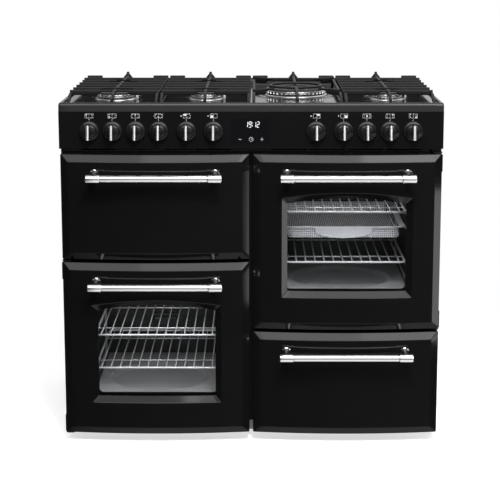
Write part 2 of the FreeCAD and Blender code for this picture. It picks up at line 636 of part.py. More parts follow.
def cavity_openings():
    """Name, middle x, width, floor and top of the three hot cavities."""
    yield "left_oven", OVEN_X[0], OVEN_W, LEFT_OVEN_Z + OVEN_FLOOR_UP, LEFT_OVEN_Z + TALL_H - OVEN_TOP_DOWN
    yield "right_oven", OVEN_X[1], OVEN_W, RIGHT_OVEN_Z + OVEN_FLOOR_UP, RIGHT_OVEN_Z + TALL_H - OVEN_TOP_DOWN
    yield "grill", -COLUMN_X, GRILL_W, GRILL_Z + GRILL_FLOOR_UP, GRILL_Z + SHORT_H - GRILL_TOP_DOWN


def front_frame():
    """Three stiles and the rails between them, with an opening for each compartment."""
    y0, y1 = BODY_FRONT, BODY_FRONT + SHEET
    bottom, top = BASE_BOTTOM + BASE_HEIGHT, FASCIA_BOTTOM + 22
    spans = {name: (cx - width / 2, cx + width / 2, low, high)
             for name, cx, width, low, high in cavity_openings()}
    spans["drawer"] = (COLUMN_X - FRONT_W / 2 + DRAWER_SIDE_GAP, COLUMN_X + FRONT_W / 2 - DRAWER_SIDE_GAP,
                       DRAWER_Z + 24, DRAWER_Z + SHORT_H - 14)
    pieces = []
    edges = []
    for column in (("left_oven", "grill"), ("drawer", "right_oven")):
        x0 = min(spans[name][0] for name in column)
        x1 = max(spans[name][1] for name in column)
        edges += [x0, x1]
        level = bottom
        for name in column:
            left, right, low, high = spans[name]
            pieces.append(block(x0, x1, y0, y1, level, low))
            pieces += [block(a, b, y0, y1, low, high) for a, b in ((x0, left), (right, x1)) if b - a > 0.1]
            level = high
        pieces.append(block(x0, x1, y0, y1, level, VENT_BOTTOM))
        pieces.append(block(x0, x1, y0, y1, VENT_TOP, top))
    for a, b in ((-HALF + SHEET, edges[0]), (edges[1], edges[2]), (edges[3], HALF - SHEET)):
        pieces.append(block(a, b, y0, y1, bottom, top))
    return pieces


def vent_slots(y0, y1):
    """Slots of the vent strip, in two groups."""
    z = (VENT_TOP + VENT_BOTTOM) / 2
    slots = []
    for side in (-1, 1):
        for i in range(4):
            a = VENT_FIRST + i * VENT_PITCH + VENT_RIB / 2
            b = a + VENT_PITCH - VENT_RIB
            slots.append(block(min(side * a, side * b), max(side * a, side * b), y0, y1,
                               z - VENT_SLOT_H / 2, z + VENT_SLOT_H / 2))
    return slots


def cavities():
    """Open-fronted boxes with a flange that seats behind the front frame."""
    for name, cx, width, low, high in cavity_openings():
        depth = GRILL_DEPTH if name == "grill" else OVEN_DEPTH
        y0 = BODY_FRONT + SHEET
        half = width / 2
        outer = block(cx - half - SHEET, cx + half + SHEET, y0, y0 + depth, low - SHEET, high + SHEET)
        flange = block(cx - half - 12, cx + half + 12, y0, y0 + SHEET, low - 12, high + 12)
        inner = block(cx - half, cx + half, y0 - 1, y0 + depth - SHEET, low, high)
        round_edges = [e for e in inner.Edges if abs(e.tangentAt(e.FirstParameter).y) > 0.9]
        inner = inner.makeFillet(10.0, round_edges)
        shell = fuse([outer, flange]).cut(inner)
        if name == "grill":
            z = low + GRILL_RAIL_UP
            rails = [block(min(s * half, s * (half - GRILL_RAIL_W)), max(s * half, s * (half - GRILL_RAIL_W)),
                           y0 + 14, y0 + depth - 50, z, z + 6) for s in (-1, 1)]
            for rail in rails:
                rail.translate(V(cx, 0, 0))
            shell = fuse([shell] + rails)
        else:
            back = y0 + depth
            middle = (low + high) / 2
            shell = shell.cut(rod((cx, back - 10, middle), (cx, back + 10, middle), 5.0))
        save(f"{name}_cavity", [shell])


def seals():
    """Rubber seals round the two oven mouths."""
    pieces = []
    for name, cx, width, low, high in cavity_openings():
        grow = 4.0
        reach = width / 2 + grow + SEAL
        outer = block(cx - reach, cx + reach, LINER_BACK + FIT, BODY_FRONT,
                      low - grow - SEAL, high + grow + SEAL)
        inner = block(cx - width / 2 - grow, cx + width / 2 + grow, LINER_BACK, BODY_FRONT + 1,
                      low - grow, high + grow)
        if name == "grill":
            continue
        pieces.append(outer.cut(inner))
    save("door_seals", pieces)


# ---- inside the ovens ----
def ladders_and_racks():
    """Chrome side ladders and the wire racks that they carry."""
    ladders = []
    racks = []
    for cx, z0, ups in ((OVEN_X[0], LEFT_OVEN_Z, LEFT_RACKS_UP), (OVEN_X[1], RIGHT_OVEN_Z, RIGHT_RACKS_UP)):
        seats = [z0 + up - FRAME_R for up in ups]
        if cx > 0:
            seats.append(z0 + BASKET_UP - BASKET_RIM_T)
        ladders += [ladder(cx, side, z0, seats) for side in (-1, 1)]
        racks += [wire_rack(cx, z0 + up) for up in ups]
    save("side_ladders", ladders)
    save("oven_racks", racks)


def ladder(cx, side, z0, seats):
    """Wires on one cavity wall: two uprights, level wires, and a stand-off wire under each seat."""
    low, high = z0 + OVEN_FLOOR_UP + 14, z0 + TALL_H - OVEN_TOP_DOWN - 14
    x = cx + side * (OVEN_W / 2 - LADDER_R / math.cos(math.pi / 6))
    rail_x = cx + side * (RACK_W / 2 + LADDER_R / 2)
    y0, y1 = RACK_FRONT + 6, BAFFLE_Y - 10
    posts = (y0 + 20, y1 - 20)
    bars = [wire((x, y, low), (x, y, high), LADDER_R) for y in posts]
    bars += [wire((x, y0, z), (x, y1, z), LADDER_R) for z in (low, high)]
    for seat in seats:
        z = seat - LADDER_R
        bars.append(wire((rail_x, y0, z), (rail_x, y1, z), LADDER_R))
        bars += [wire((x, y, z), (rail_x, y, z), LADDER_R) for y in posts]
    return fuse(bars)


def wire_rack(cx, z):
    """A frame of thick wire, with rods from front to back between its ends."""
    half = RACK_W / 2
    y0, y1 = RACK_FRONT, BAFFLE_Y - 8
    pieces = [wire((cx - half, y, z), (cx + half, y, z), FRAME_R) for y in (y0, y1)]
    pieces += [wire((cx + s * half, y0, z), (cx + s * half, y1, z), FRAME_R) for s in (-1, 1)]
    count = int(RACK_W // ROD_PITCH)
    first = -(count - 1) / 2 * ROD_PITCH
    pieces += [wire((cx + first + i * ROD_PITCH, y0, z), (cx + first + i * ROD_PITCH, y1, z), ROD_R)
               for i in range(count)]
    pieces.append(wire((cx - half, (y0 + y1) / 2, z - ROD_R), (cx + half, (y0 + y1) / 2, z - ROD_R), ROD_R))
    return fuse(pieces)


def basket():
    """Open basket of the right oven, hung by its rim, with a curved plate at the front."""
    cx = OVEN_X[1]
    top = RIGHT_OVEN_Z + BASKET_UP
    under = top - BASKET_RIM_T
    floor = top - BASKET_DEEP + SHEET
    half = RACK_W / 2 - BASKET_RIM_W
    x0, x1 = cx - half, cx + half
    y0, y1 = RACK_FRONT + 8, BAFFLE_Y - 14
    slots = [block(cx + i * 20 - 6, cx + i * 20 + 6, y0 + 30, y1 - 30, floor - SHEET - 1, floor + 1)
             for i in range(-6, 7)]
    mesh = cut(block(x0, x1, y0, y1, floor - SHEET, floor), slots)
    walls = [block(a, a + SHEET, y0, y1, floor, under) for a in (x0, x1 - SHEET)]
    walls += [block(x0 + SHEET, x1 - SHEET, a, a + SHEET, floor, under) for a in (y0, y1 - SHEET)]
    rim = [block(a, b, y0 - 6, y1 + 6, under, top) for a, b in
           ((x0 - BASKET_RIM_W, x0 + SHEET), (x1 - SHEET, x1 + BASKET_RIM_W))]
    rim += [block(x0 + SHEET, x1 - SHEET, a, b, under, top)
            for a, b in ((y0 - 6, y0 + SHEET), (y1 - SHEET, y1 + 6))]
    y = y0 - 6 - 2
    half = BASKET_PLATE_W / 2
    edge = top - BASKET_PLATE_EDGE
    corners = [V(cx - half, y, edge), V(cx - half, y, top), V(cx + half, y, top), V(cx + half, y, edge)]
    curve = Part.Arc(corners[3], V(cx, y, edge - BASKET_PLATE_SAG), corners[0]).toShape()
    outline = Part.Wire(Part.makePolygon(corners).Edges + [curve])
    plate = Part.Face(outline).extrude(V(0, 2, 0))
    save("air_fry_basket", [mesh] + walls + rim + [plate])


def fans_and_elements():
    """Fan, ring element and slotted baffle at the back of each oven, and the grill's element."""
    baffles = []
    elements = []
    for name, cx, width, low, high in cavity_openings():
        middle = (low + high) / 2
        if name == "grill":
            elements.append(grill_element(cx, width, high))
            continue
        plate = block(cx - width / 2 + 0.5, cx + width / 2 - 0.5, BAFFLE_Y, BAFFLE_Y + SHEET,
                      low + 0.5, high - 0.5)
        corner = [e for e in plate.Edges if abs(e.tangentAt(e.FirstParameter).y) > 0.9]
        plate = plate.makeFillet(10.0, corner)
        slots = [block(cx - 60 + abs(i) * 6, cx + 60 - abs(i) * 6, BAFFLE_Y - 2, BAFFLE_Y + 3,
                       middle + i * 12 - 3, middle + i * 12 + 3) for i in range(-5, 6)]
        baffles.append(cut(plate, slots))
        y = BAFFLE_Y + 24
        ring = turned(cx, y, middle, hexagon(RING_R, ELEMENT_R), "Y")
        z = middle - RING_R
        leads = [wire((cx + s * 8, y, z), (cx + s * 8, BODY_FRONT + OVEN_DEPTH, z), 3)
                 for s in (-1, 1)]
        elements.append(fuse([ring] + leads))
        save(f"{name}_fan", [fan(cx, middle)])
    save("fan_baffles", baffles)
    save("heating_elements", elements)


def hexagon(away, radius):
    """Outline of a six-sided section, away from the axis it is turned about."""
    corner = radius / math.cos(math.pi / 6)
    return [(away + corner * math.cos(k * math.pi / 3), corner * math.sin(k * math.pi / 3)) for k in range(6)]


def fan(cx, z):
    """Impeller with bent blades on a disc, and its shaft through the back wall."""
    y0 = BAFFLE_Y + 12
    back = BODY_FRONT + SHEET + OVEN_DEPTH
    disc = rod((cx, y0 + 14, z), (cx, y0 + 16, z), FAN_R - 6)
    hub = rod((cx, y0 + 4, z), (cx, y0 + 20, z), 9.0)
    shaft = rod((cx, y0, z), (cx, back + 6, z), 4.9)
    blades = []
    for i in range(10):
        blade = block(26, FAN_R, -1, 1, 0, 14)
        blade.rotate(V(26, 0, 0), UP, 25)
        blade.rotate(V(0, 0, 0), UP, 36 * i)
        blade.rotate(V(0, 0, 0), V(1, 0, 0), 90)
        blade.translate(V(cx, y0 + 15, z))
        blades.append(blade)
    return fuse([disc, hub, shaft] + blades)


def grill_element(cx, width, top):
    """A tube in long loops under the grill's roof."""
    z = top - 16
    y0, y1 = BODY_FRONT + 50, BODY_FRONT + GRILL_DEPTH
    pitch = 44.0
    loops = 6
    first = cx - pitch * (loops - 1) / 2
    edges = []
    for i in range(loops):
        x = first + i * pitch
        front = y0 + pitch / 2
        near, far = (front, y1 - 40) if i not in (0, loops - 1) else (front, y1)
        if i % 2 == 0:
            edges.append(Part.LineSegment(V(x, far, z), V(x, near, z)).toShape())
            edges.append(Part.Arc(V(x, near, z), V(x + pitch / 2, y0, z), V(x + pitch, near, z)).toShape())
        else:
            edges.append(Part.LineSegment(V(x, near, z), V(x, far, z)).toShape())
            if i < loops - 1:
                bend = Part.Arc(V(x, far, z), V(x + pitch / 2, far + pitch / 2, z), V(x + pitch, far, z))
                edges.append(bend.toShape())
    path = Part.Wire(Part.__sortEdges__(edges))
    start = path.OrderedVertexes[0].Point
    corners = [start + V(a, 0, b) for a, b in hexagon(0, ELEMENT_R)]
    section = Part.makePolygon(corners + [corners[0]])
    return path.makePipeShell([section], True, False)


def grill_pan():
    """Pan and trivet, hung by the pan's rim on the grill's runners."""
    cx = -COLUMN_X
    top = GRILL_Z + GRILL_FLOOR_UP + GRILL_RAIL_UP + 6 + 2
    low = top - 36
    half = GRILL_W / 2 - GRILL_RAIL_W - 3
    x0, x1 = cx - half, cx + half
    y0, y1 = BODY_FRONT + 16, BODY_FRONT + GRILL_DEPTH - 50
    outer = block(x0, x1, y0, y1, low, top)
    inner = block(x0 + SHEET, x1 - SHEET, y0 + SHEET, y1 - SHEET, low + SHEET, top + 1)
    rim = block(x0 - 15, x1 + 15, y0 - 5, y1 + 5, top - 2, top)
    pan = fuse([outer, rim]).cut(inner)
    z = top - 6
    bars = [wire((x0 + 6, y, z), (x1 - 6, y, z), 2.5) for y in (y0 + 12, y1 - 12)]
    count = int((x1 - x0 - 20) // 32)
    first = -(count - 1) / 2 * 32
    bars += [wire((cx + first + i * 32, y0 + 6, z), (cx + first + i * 32, y1 - 6, z), 2.0)
             for i in range(count)]
    bars += [wire((x, y, low + SHEET), (x, y, z), 2.0) for x in (x0 + 8, x1 - 8) for y in (y0 + 12, y1 - 12)]
    save("grill_pan", [pan, fuse(bars)])


# ---- fascia ----
def knobs():
    """Eleven controls, each with its spindle."""
    for i, x in enumerate(sorted(OVEN_KNOBS_X + GAS_KNOBS_X), start=1):
        save(f"knob_{i:02d}", knob(x))


def knob(x):
    """Skirt, raised disc and upright grip with a bright insert; the spindle runs into the valve."""
    body = turned(x, 0, KNOB_Z, [(0, KNOB_LIFT), (KNOB_SKIRT_R, KNOB_LIFT), (KNOB_SKIRT_R, 5),
                                 (KNOB_DISC_R + 1, 9), (KNOB_DISC_R, KNOB_DISC_Y), (0, KNOB_DISC_Y)], "Y")
    half = KNOB_GRIP_H / 2
    grip = side_plate(x, KNOB_GRIP_W, [(-8, KNOB_Z - half + 2), (-8, KNOB_Z + half - 2),
                                       (-KNOB_DISC_Y, KNOB_Z + half), (-KNOB_GRIP_Y + 5, KNOB_Z + half),
                                       (-KNOB_GRIP_Y, KNOB_Z + half - 5), (-KNOB_GRIP_Y, KNOB_Z - half + 5),
                                       (-KNOB_GRIP_Y + 5, KNOB_Z - half), (-KNOB_DISC_Y, KNOB_Z - half)])
    insert = block(x - 3.6, x + 3.6, -KNOB_GRIP_Y - 1.2, -KNOB_GRIP_Y + 1.5,
                   KNOB_Z - half + 5, KNOB_Z + half - 5)
    spindle = eight_sided((x, -8, KNOB_Z), (x, SPINDLE_END, KNOB_Z), SPINDLE_R)
    return [fuse([body, grip, spindle]).cut(insert), insert]


def fascia():
    """Control panel, clock glass and vent strip."""
    outer = block(-HALF, HALF, 0, BODY_FRONT - SHEET, FASCIA_BOTTOM, FASCIA_TOP)
    outer = outer.makeFillet(2.5, [e for e in outer.Edges if e.BoundBox.YMax < 1 and e.BoundBox.XLength < 1])
    inner = block(-HALF + WALL, HALF - WALL, WALL, BODY_FRONT, FASCIA_BOTTOM + WALL, FASCIA_TOP - WALL)
    holes = [eight_sided((x, -1, KNOB_Z), (x, WALL + 1, KNOB_Z), SPINDLE_HOLE_R)
             for x in OVEN_KNOBS_X + GAS_KNOBS_X]
    window = block(-CLOCK_W / 2, CLOCK_W / 2, -1, WALL + 1, CLOCK_BOTTOM, CLOCK_TOP)
    window = window.makeFillet(3.0, [e for e in window.Edges if abs(e.tangentAt(e.FirstParameter).y) > 0.9])
    save("fascia_panel", [outer.cut(inner).cut(window).cut(Part.makeCompound(holes))])
    glass = block(-CLOCK_W / 2, CLOCK_W / 2, 0, WALL, CLOCK_BOTTOM, CLOCK_TOP)
    glass = glass.makeFillet(3.0, [e for e in glass.Edges if abs(e.tangentAt(e.FirstParameter).y) > 0.9])
    save("clock_glass", [glass])
    strip = block(-HALF + 30, HALF - 30, BODY_FRONT - SHEET, BODY_FRONT, VENT_BOTTOM, VENT_TOP + 8)
    save("vent_strip", [cut(strip, vent_slots(BODY_FRONT - 3, BODY_FRONT + 1))])


def controls():
    """Gas manifold with its taps and rear inlet; oven switches and clock unit; mains box."""
    y, z = PIPE_Y, PIPE_Z
    manifold = rod((GAS_X - 20, y, z), (-GAS_X + 20, y, z), PIPE_R)
    end = DEPTH - 2
    riser = fuse([rod((GAS_X, y, z), (GAS_X, y, GAS_Z), PIPE_R), Part.makeSphere(PIPE_R, V(GAS_X, y, GAS_Z))])
    inlet = fuse([rod((GAS_X, y, GAS_Z), (GAS_X, end, GAS_Z), PIPE_R),
                  rod((GAS_X, end - GAS_THREAD_L, GAS_Z), (GAS_X, end, GAS_Z), GAS_THREAD_R)])
    pipes = [manifold, riser.cut(manifold), inlet.cut(riser)]
    taps = []
    for x in GAS_KNOBS_X:
        tap = block(x - TAP_W / 2, x + TAP_W / 2, VALVE_FRONT, y, KNOB_Z - 20, KNOB_Z + 13)
        bore = rod((x, VALVE_FRONT - 1, KNOB_Z), (x, SPINDLE_END + 2, KNOB_Z), SPINDLE_R + PIN_GAP)
        taps.append(cut(tap, [bore] + pipes))
    save("gas_manifold", pipes + taps)
    units = []
    for x in OVEN_KNOBS_X:
        body = block(x - SWITCH_W / 2, x + SWITCH_W / 2, VALVE_FRONT + 8, VALVE_FRONT + 46,
                     KNOB_Z - 22, KNOB_Z + 22)
        bore = rod((x, VALVE_FRONT - 1, KNOB_Z), (x, SPINDLE_END + 2, KNOB_Z), SPINDLE_R + PIN_GAP)
        units.append(body.cut(bore).cut(manifold))
    units.append(block(-CLOCK_W / 2 + 4, CLOCK_W / 2 - 4, WALL, WALL + 22, CLOCK_BOTTOM + 4, CLOCK_TOP - 4))
    save("control_units", units)
    box = block(BOX_X - BOX_W / 2, BOX_X + BOX_W / 2, CASE_BACK, CASE_BACK + BOX_D, BOX_Z, BOX_Z + BOX_H)
    box = box.makeFillet(4.0, [e for e in box.Edges if e.BoundBox.YMin > CASE_BACK + 1])
    middle = CASE_BACK + BOX_D / 2
    gland = rod((BOX_X, middle, BOX_Z - GLAND_L), (BOX_X, middle, BOX_Z + 1), GLAND_R)
    bore = rod((BOX_X, middle, BOX_Z - GLAND_L - 1), (BOX_X, middle, BOX_Z), CABLE_R)
    save("terminal_box", [fuse([box, gland]).cut(bore)])


# ---- hob ----
def hob_tray():
    """Pressed hob: rim, sunk well, leaning front edge and rear upstand."""
    outline = [(0, TRIM_BOTTOM), (TRIM_LEAN, HOB_TOP - 4), (TRIM_LEAN + 4, HOB_TOP),
               (DEPTH - HOB_LIP_T - 6, HOB_TOP), (DEPTH - HOB_LIP_T, HOB_TOP + HOB_LIP - 2),
               (DEPTH - HOB_LIP_T + 3, HOB_TOP + HOB_LIP), (DEPTH - 2, HOB_TOP + HOB_LIP),
               (DEPTH, HOB_TOP + HOB_LIP - 2), (DEPTH, TRIM_BOTTOM)]
    form = side_plate(0, WIDTH, outline)
    under = side_plate(0, WIDTH - 2 * WALL, [(WALL, TRIM_BOTTOM - 1), (WALL, WELL_Z - WALL),
                                             (DEPTH - WALL, WELL_Z - WALL), (DEPTH - WALL, TRIM_BOTTOM - 1)])
    top, floor = HOB_RIM, HOB_RIM + HOB_WELL
    y1 = DEPTH - HOB_LIP_T - 10
    wires = []
    for inset, z in ((top, HOB_TOP + 0.01), (floor, WELL_Z)):
        x = HALF - inset
        a, b = TRIM_LEAN + inset, y1 - (inset - top)
        wires.append(Part.makePolygon([V(-x, a, z), V(x, a, z), V(x, b, z), V(-x, b, z), V(-x, a, z)]))
    well = Part.makeLoft(wires, True, True)
    holes = [rod((x, y, WELL_Z - 5), (x, y, WELL_Z + 1), r * 0.6) for x, y, r in burner_places()]
    holes.append(rod((SUPPORT_X[2], WOK_Y, WELL_Z - 5), (SUPPORT_X[2], WOK_Y, WELL_Z + 1), 40.0))
    return cut(form.cut(under).cut(well), holes)


def burner_places():
    """Middle and crown radius of the six small burners."""
    for column, name in ((0, "left"), (1, "middle"), (3, "right")):
        for y, r in zip(SIDE_BURNER_Y, BURNER_R[name]):
            yield SUPPORT_X[column], y, r


def burners():
    """Burner cups through the hob, bright crowns and black caps, and the wok burner."""
    cups, crowns, caps, sparks = [], [], [], []
    ports = 8
    for x, y, r in burner_places():
        z = WELL_Z
        cups.append(faceted(x, y, z, [(r * 0.3, -30), (r * 0.55, -30), (r * 0.55, 0), (r + 6, 0), (r + 4, 3),
                                      (r * 0.8, 4), (r * 0.3, 4)], 16))
        crown = turned(x, y, z, [(r * 0.3, 4), (r * 0.8, 4), (r, 8), (r, CROWN_H), (r * 0.3, CROWN_H)])
        slots = []
        for i in range(ports):
            slot = block(r - 5, r + 2, -1.5, 1.5, CROWN_H - 5, CROWN_H + 1)
            slot.rotate(V(0, 0, 0), UP, 360 * (i + 0.5) / ports)
            slot.translate(V(x, y, z))
            slots.append(slot)
        crowns.append(cut(crown, slots))
        caps.append(turned(x, y, z, [(0, CROWN_H), (r - 1, CROWN_H), (r - 2, CROWN_H + 4), (r * 0.7, CAP_H),
                                     (0, CAP_H)]))
        sparks.append(wire((x + r + 9, y + 4, z), (x + r + 9, y + 4, z + 15), 2.5))
        sparks.append(wire((x + r + 7, y - 12, z), (x + r + 7, y - 12, z + 13), 2.0))
    x, y, z, r = SUPPORT_X[2], WOK_Y, WELL_Z, WOK_R
    base = turned(x, y, z, [(12, -36), (30, -36), (38, 0), (r + 5, 0), (r + 3, 3), (12, 3)])
    ring = turned(x, y, z, [(r - 24, 3), (r - 2, 3), (r, 8), (r, CROWN_H), (r - 24, CROWN_H)])
    inner = turned(x, y, z, [(8, 3), (24, 3), (27, 8), (27, CROWN_H), (8, CROWN_H)])
    arms = []
    for i in range(3):
        arm = block(26, r - 20, -7, 7, 3, 12)
        arm.rotate(V(0, 0, 0), UP, 120 * i + 30)
        arm.translate(V(x, y, z))
        arms.append(arm)
    ring_cap = turned(x, y, z, [(r - 25, CROWN_H), (r - 1, CROWN_H), (r - 3, CROWN_H + 4),
                                (r - 22, CAP_H - 0.5)])
    hub_cap = turned(x, y, z, [(0, CROWN_H), (26, CROWN_H), (24, CROWN_H + 4), (0, CAP_H)])
    save("burner_cups", cups)
    save("burner_crowns", crowns + [fuse([base, ring, inner] + arms)])
    save("burner_caps", caps + [ring_cap, hub_cap])
    sparks.append(wire((x + r + 9, y, z), (x + r + 9, y, z + 15), 2.5))
    sparks.append(wire((x + r + 8, y - 16, z), (x + r + 8, y - 16, z + 13), 2.0))
    save("igniters", sparks)


def pan_support(cx, wok):
    """Cast support: side rails on legs, cross ribs, and a long middle rib with a horn at the back."""
    half = SUPPORT_W / 2
    top, low, foot = SUPPORT_TOP, SUPPORT_TOP - 16, WELL_Z + 0.05
    y0, y1 = SUPPORT_FRONT, SUPPORT_BACK
    pieces = []
    for s in (-1, 1):
        x = cx + s * (half - RIB / 2)
        outline = [(y0 - 62, foot), (y0 - 46, foot), (y0 - 18, low - 4), (y0, low - 1), (y1 - 22, low - 1),
                   (y1 - 14, foot), (y1, foot), (y1, top), (y1 - RIB, top), (y1 - RIB, top - 6),
                   (y0, top - 6), (y0 - 22, top - 8), (y0 - 50, foot + 9)]
        pieces.append(side_plate(x, RIB, outline))
        blocks = [(cx + s * half, top), (cx + s * (half - 44), top), (cx + s * (half - 44), low),
                  (cx + s * half, low)]
        pieces.append(cross_plate(y1 - RIB / 2, RIB, blocks))
    pieces.append(cross_plate(y1 - RIB / 2, RIB, [(cx - half, top - 7), (cx + half, top - 7),
                                                  (cx + half, low - 2), (cx - half, low - 2)]))
    spine = [(y0 - 74, foot), (y0 - 58, foot), (y0 - 34, low - 3), (y0, low), (y1, low), (y1, HORN_TOP),
             (y1 - 6, HORN_TOP), (y1 - 26, top), (y0, top), (y0 - 40, top - 7), (y0 - 66, foot + 8)]
    pieces.append(side_plate(cx, RIB, spine))
    clear = WELL_Z + SUPPORT_CLEAR
    if wok:
        pieces.append(turned(cx, WOK_Y, 0, [(66, clear), (74, clear), (74, top), (66, top)]))
        for s in (-1, 1):
            for y, spread in ((y0 + 20, 40), (y1 - 40, -60)):
                wing = [(cx + s * half, y - RIB / 2, low), (cx + s * half, y + RIB / 2, low),
                        (cx + s * 62, y + spread + RIB / 2, low), (cx + s * 62, y + spread - RIB / 2, low)]
                pieces.append(prism(wing, (0, 0, top - low)))
        burner_list = [(WOK_Y, WOK_R, 66.0)]
    else:
        for i in range(6):
            y = y0 + RIB / 2 + i * (y1 - y0 - RIB) / 6
            outline = [(cx - half, top), (cx + half, top), (cx + half, low), (cx + half - 14, low + 2),
                       (cx - half + 14, low + 2), (cx - half, low)]
            pieces.append(cross_plate(y, RIB, outline))
        burner_list = [(y, r, CENTRE_HOLE) for x, y, r in burner_places() if x == cx]
    holes = []
    for y, r, centre in burner_list:
        holes.append(Part.makeCylinder(r + 8, clear - foot + 1, V(cx, y, foot - 1)))
        holes.append(Part.makeCylinder(centre, 60, V(cx, y, foot - 1)))
    return cut(fuse(pieces), holes)


def main():
    os.makedirs("parts", exist_ok=True)
    casing()
    cavities()
    seals()
    ladders_and_racks()
    basket()
    fans_and_elements()
    grill_pan()
    fascia()
    controls()
    knobs()
    save("hob_tray", [hob_tray()])
    burners()
    for i, x in enumerate(SUPPORT_X, start=1):
        save(f"pan_support_{i}", [pan_support(x, i == 3)])
    oven_door("left_oven", -COLUMN_X, -1, LEFT_OVEN_Z)
    oven_door("right_oven", COLUMN_X, 1, RIGHT_OVEN_Z)
    grill_door()
    drawer()
    save("hinge_brackets", hinge_brackets())


main()
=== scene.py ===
"""Looks of the range cooker: enamelled fronts, cast pan supports, chrome racks, controls and studio."""
import json
import math

import bmesh
import bpy
import numpy as np
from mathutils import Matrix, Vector


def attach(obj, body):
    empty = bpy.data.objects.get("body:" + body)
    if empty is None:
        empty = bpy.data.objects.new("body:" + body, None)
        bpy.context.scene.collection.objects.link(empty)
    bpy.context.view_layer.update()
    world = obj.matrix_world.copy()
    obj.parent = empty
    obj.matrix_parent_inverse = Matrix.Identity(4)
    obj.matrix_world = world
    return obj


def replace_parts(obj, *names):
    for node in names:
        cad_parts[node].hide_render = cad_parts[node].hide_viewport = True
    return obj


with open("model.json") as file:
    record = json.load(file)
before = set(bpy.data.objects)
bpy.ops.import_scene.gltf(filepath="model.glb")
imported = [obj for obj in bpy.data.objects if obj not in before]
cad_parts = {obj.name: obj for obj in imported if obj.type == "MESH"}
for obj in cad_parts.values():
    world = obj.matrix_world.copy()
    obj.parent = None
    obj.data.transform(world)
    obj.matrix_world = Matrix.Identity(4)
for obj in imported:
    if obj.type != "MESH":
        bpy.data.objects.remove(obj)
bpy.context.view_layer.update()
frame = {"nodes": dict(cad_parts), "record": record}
nodes = frame["nodes"]

# ---- sizes shared with the solid model, in mm; y counts back from the fascia plane ----
Y_SHIFT = -264.25
HALF = 500.0
DEPTH = 600.0
FRONT_W = 493.0
COLUMN_X = 251.0
FRONTS = {"left_oven": (-COLUMN_X, 26.0, 468.0), "grill": (-COLUMN_X, 502.5, 279.0),
          "drawer": (COLUMN_X, 26.0, 279.0), "right_oven": (COLUMN_X, 313.5, 468.0)}
BOW = 17.0
BOW_R = FRONT_W ** 2 / (8 * BOW) + BOW / 2
BEVEL_W = 19.5
BEVEL_D = 10.0
FACE_INSET = BEVEL_W + 2.4
SKIRT_BACK = 26.0
TAB_H = 45.0
DROP_LUG_X = 220.0         # the grill door's hinge arms, from its middle
SLOT_REACH = 3.5           # half the width of the slots they stand in
SLOT_UP = 8.0
PANE_T = 4.0
WINDOW_W = 343.0
WINDOW_BOTTOM = 88.5
WINDOW_SIDE_TOP = 354.0
WINDOW_RISE = 15.5
WINDOW_BEVEL = 15.5
WINDOW_DEPTH = 14.0
HANDLE_Y = -60.0
HANDLE_R = 9.85
FERRULE_R = 11.5
HANDLE_L = 350.0
HANDLE_X = 250.5
HANDLE_DROP = 56.0
POST_IN = 18.0
KNOB_Z = 842.0
OVEN_KNOBS = (-168.0, -98.0, 169.0, 240.0)
GAS_KNOBS = (-420.0, -360.0, -300.0, -240.0, 300.0, 360.0, 420.0)
GRIP_LEAN = 0.19           # of the knob grips, per mm of height
STRIP_HALF = 3.8
SYMBOL_Z = 881.0
CLOCK_X = -15.0
CLOCK_Z = 851.5
FIGURE_W = 5.6
FIGURE_H = 7.2             # of half a figure
TOUCH_Z = 820.0
RACK_HALF = 165.0
RACK_Y = (52.0, 437.5)
RACK_RIM_R = 3.0
RODS = 13
ROD_PITCH = 25.0
ROD_R = 1.7
CROSS_ROD_Y = (133.0, 357.0)
LADDER_Y = (58.0, 435.5)
LADDER_R = 2.4
# each oven's middle, floor, ceiling and rack heights
OVENS = {"left": (-256.0, 118.0, 450.0, (189.0, 280.6)), "right": (246.0, 405.5, 737.5, (482.0, 617.9))}
LINER_HALF = 178.0
LINER_Y = (41.6, 490.0)
SHEET = 1.4
DISH_R = 140.0
DISH_DEPTH = 13.0
DISH_Y = 215.0
BASKET_TOP = 578.5
BASKET_HALF = 150.0
BASKET_Y = (60.0, 431.5)
BASKET_DEPTH = 33.0
HOB_TOP = 915.0
WELL_Z = 908.0
WELL_INSET = 18.0
GROOVE_DEPTH = 1.1
TRIM_BOTTOM = 892.4
SUPPORT_X = (-365.7, -121.9, 121.9, 365.7)
SUPPORT_HALF = 119.25
SUPPORT_TOP = 936.0
SUPPORT_CLEAR = 22.0       # of the ribs' underside over a burner, from the well
RIB_H = 16.0
BLOCK_W = 44.0
FINGER_GAP = 20.0          # from a burner's middle to the ribs' ends
HORN_TOP = 947.0
SUPPORT_Y = (122.0, 552.0)
CROWN_TOP = 15.0           # above the well
PORT_DEPTH = 3.6
BACK_Y = 570.0
# each burner's x, y and radius
BURNERS = ((SUPPORT_X[0], 165.0, 50.0), (SUPPORT_X[0], 395.0, 38.0), (SUPPORT_X[1], 165.0, 41.0),
           (SUPPORT_X[1], 395.0, 33.0), (SUPPORT_X[3], 165.0, 41.0), (SUPPORT_X[3], 395.0, 41.0))
WOK = (SUPPORT_X[2], 276.0, 83.0)
BANK_Y = -2.15             # of the front lamps, in metres
FOCAL_PX = 1456.15         # of the photograph's camera
PICTURE_PX = 500


def metres(points):
    """Points in mm, with y from the fascia plane, as metres in the row frame."""
    return (np.asarray(points, float) + (0.0, Y_SHIFT, 0.0)) / 1000.0


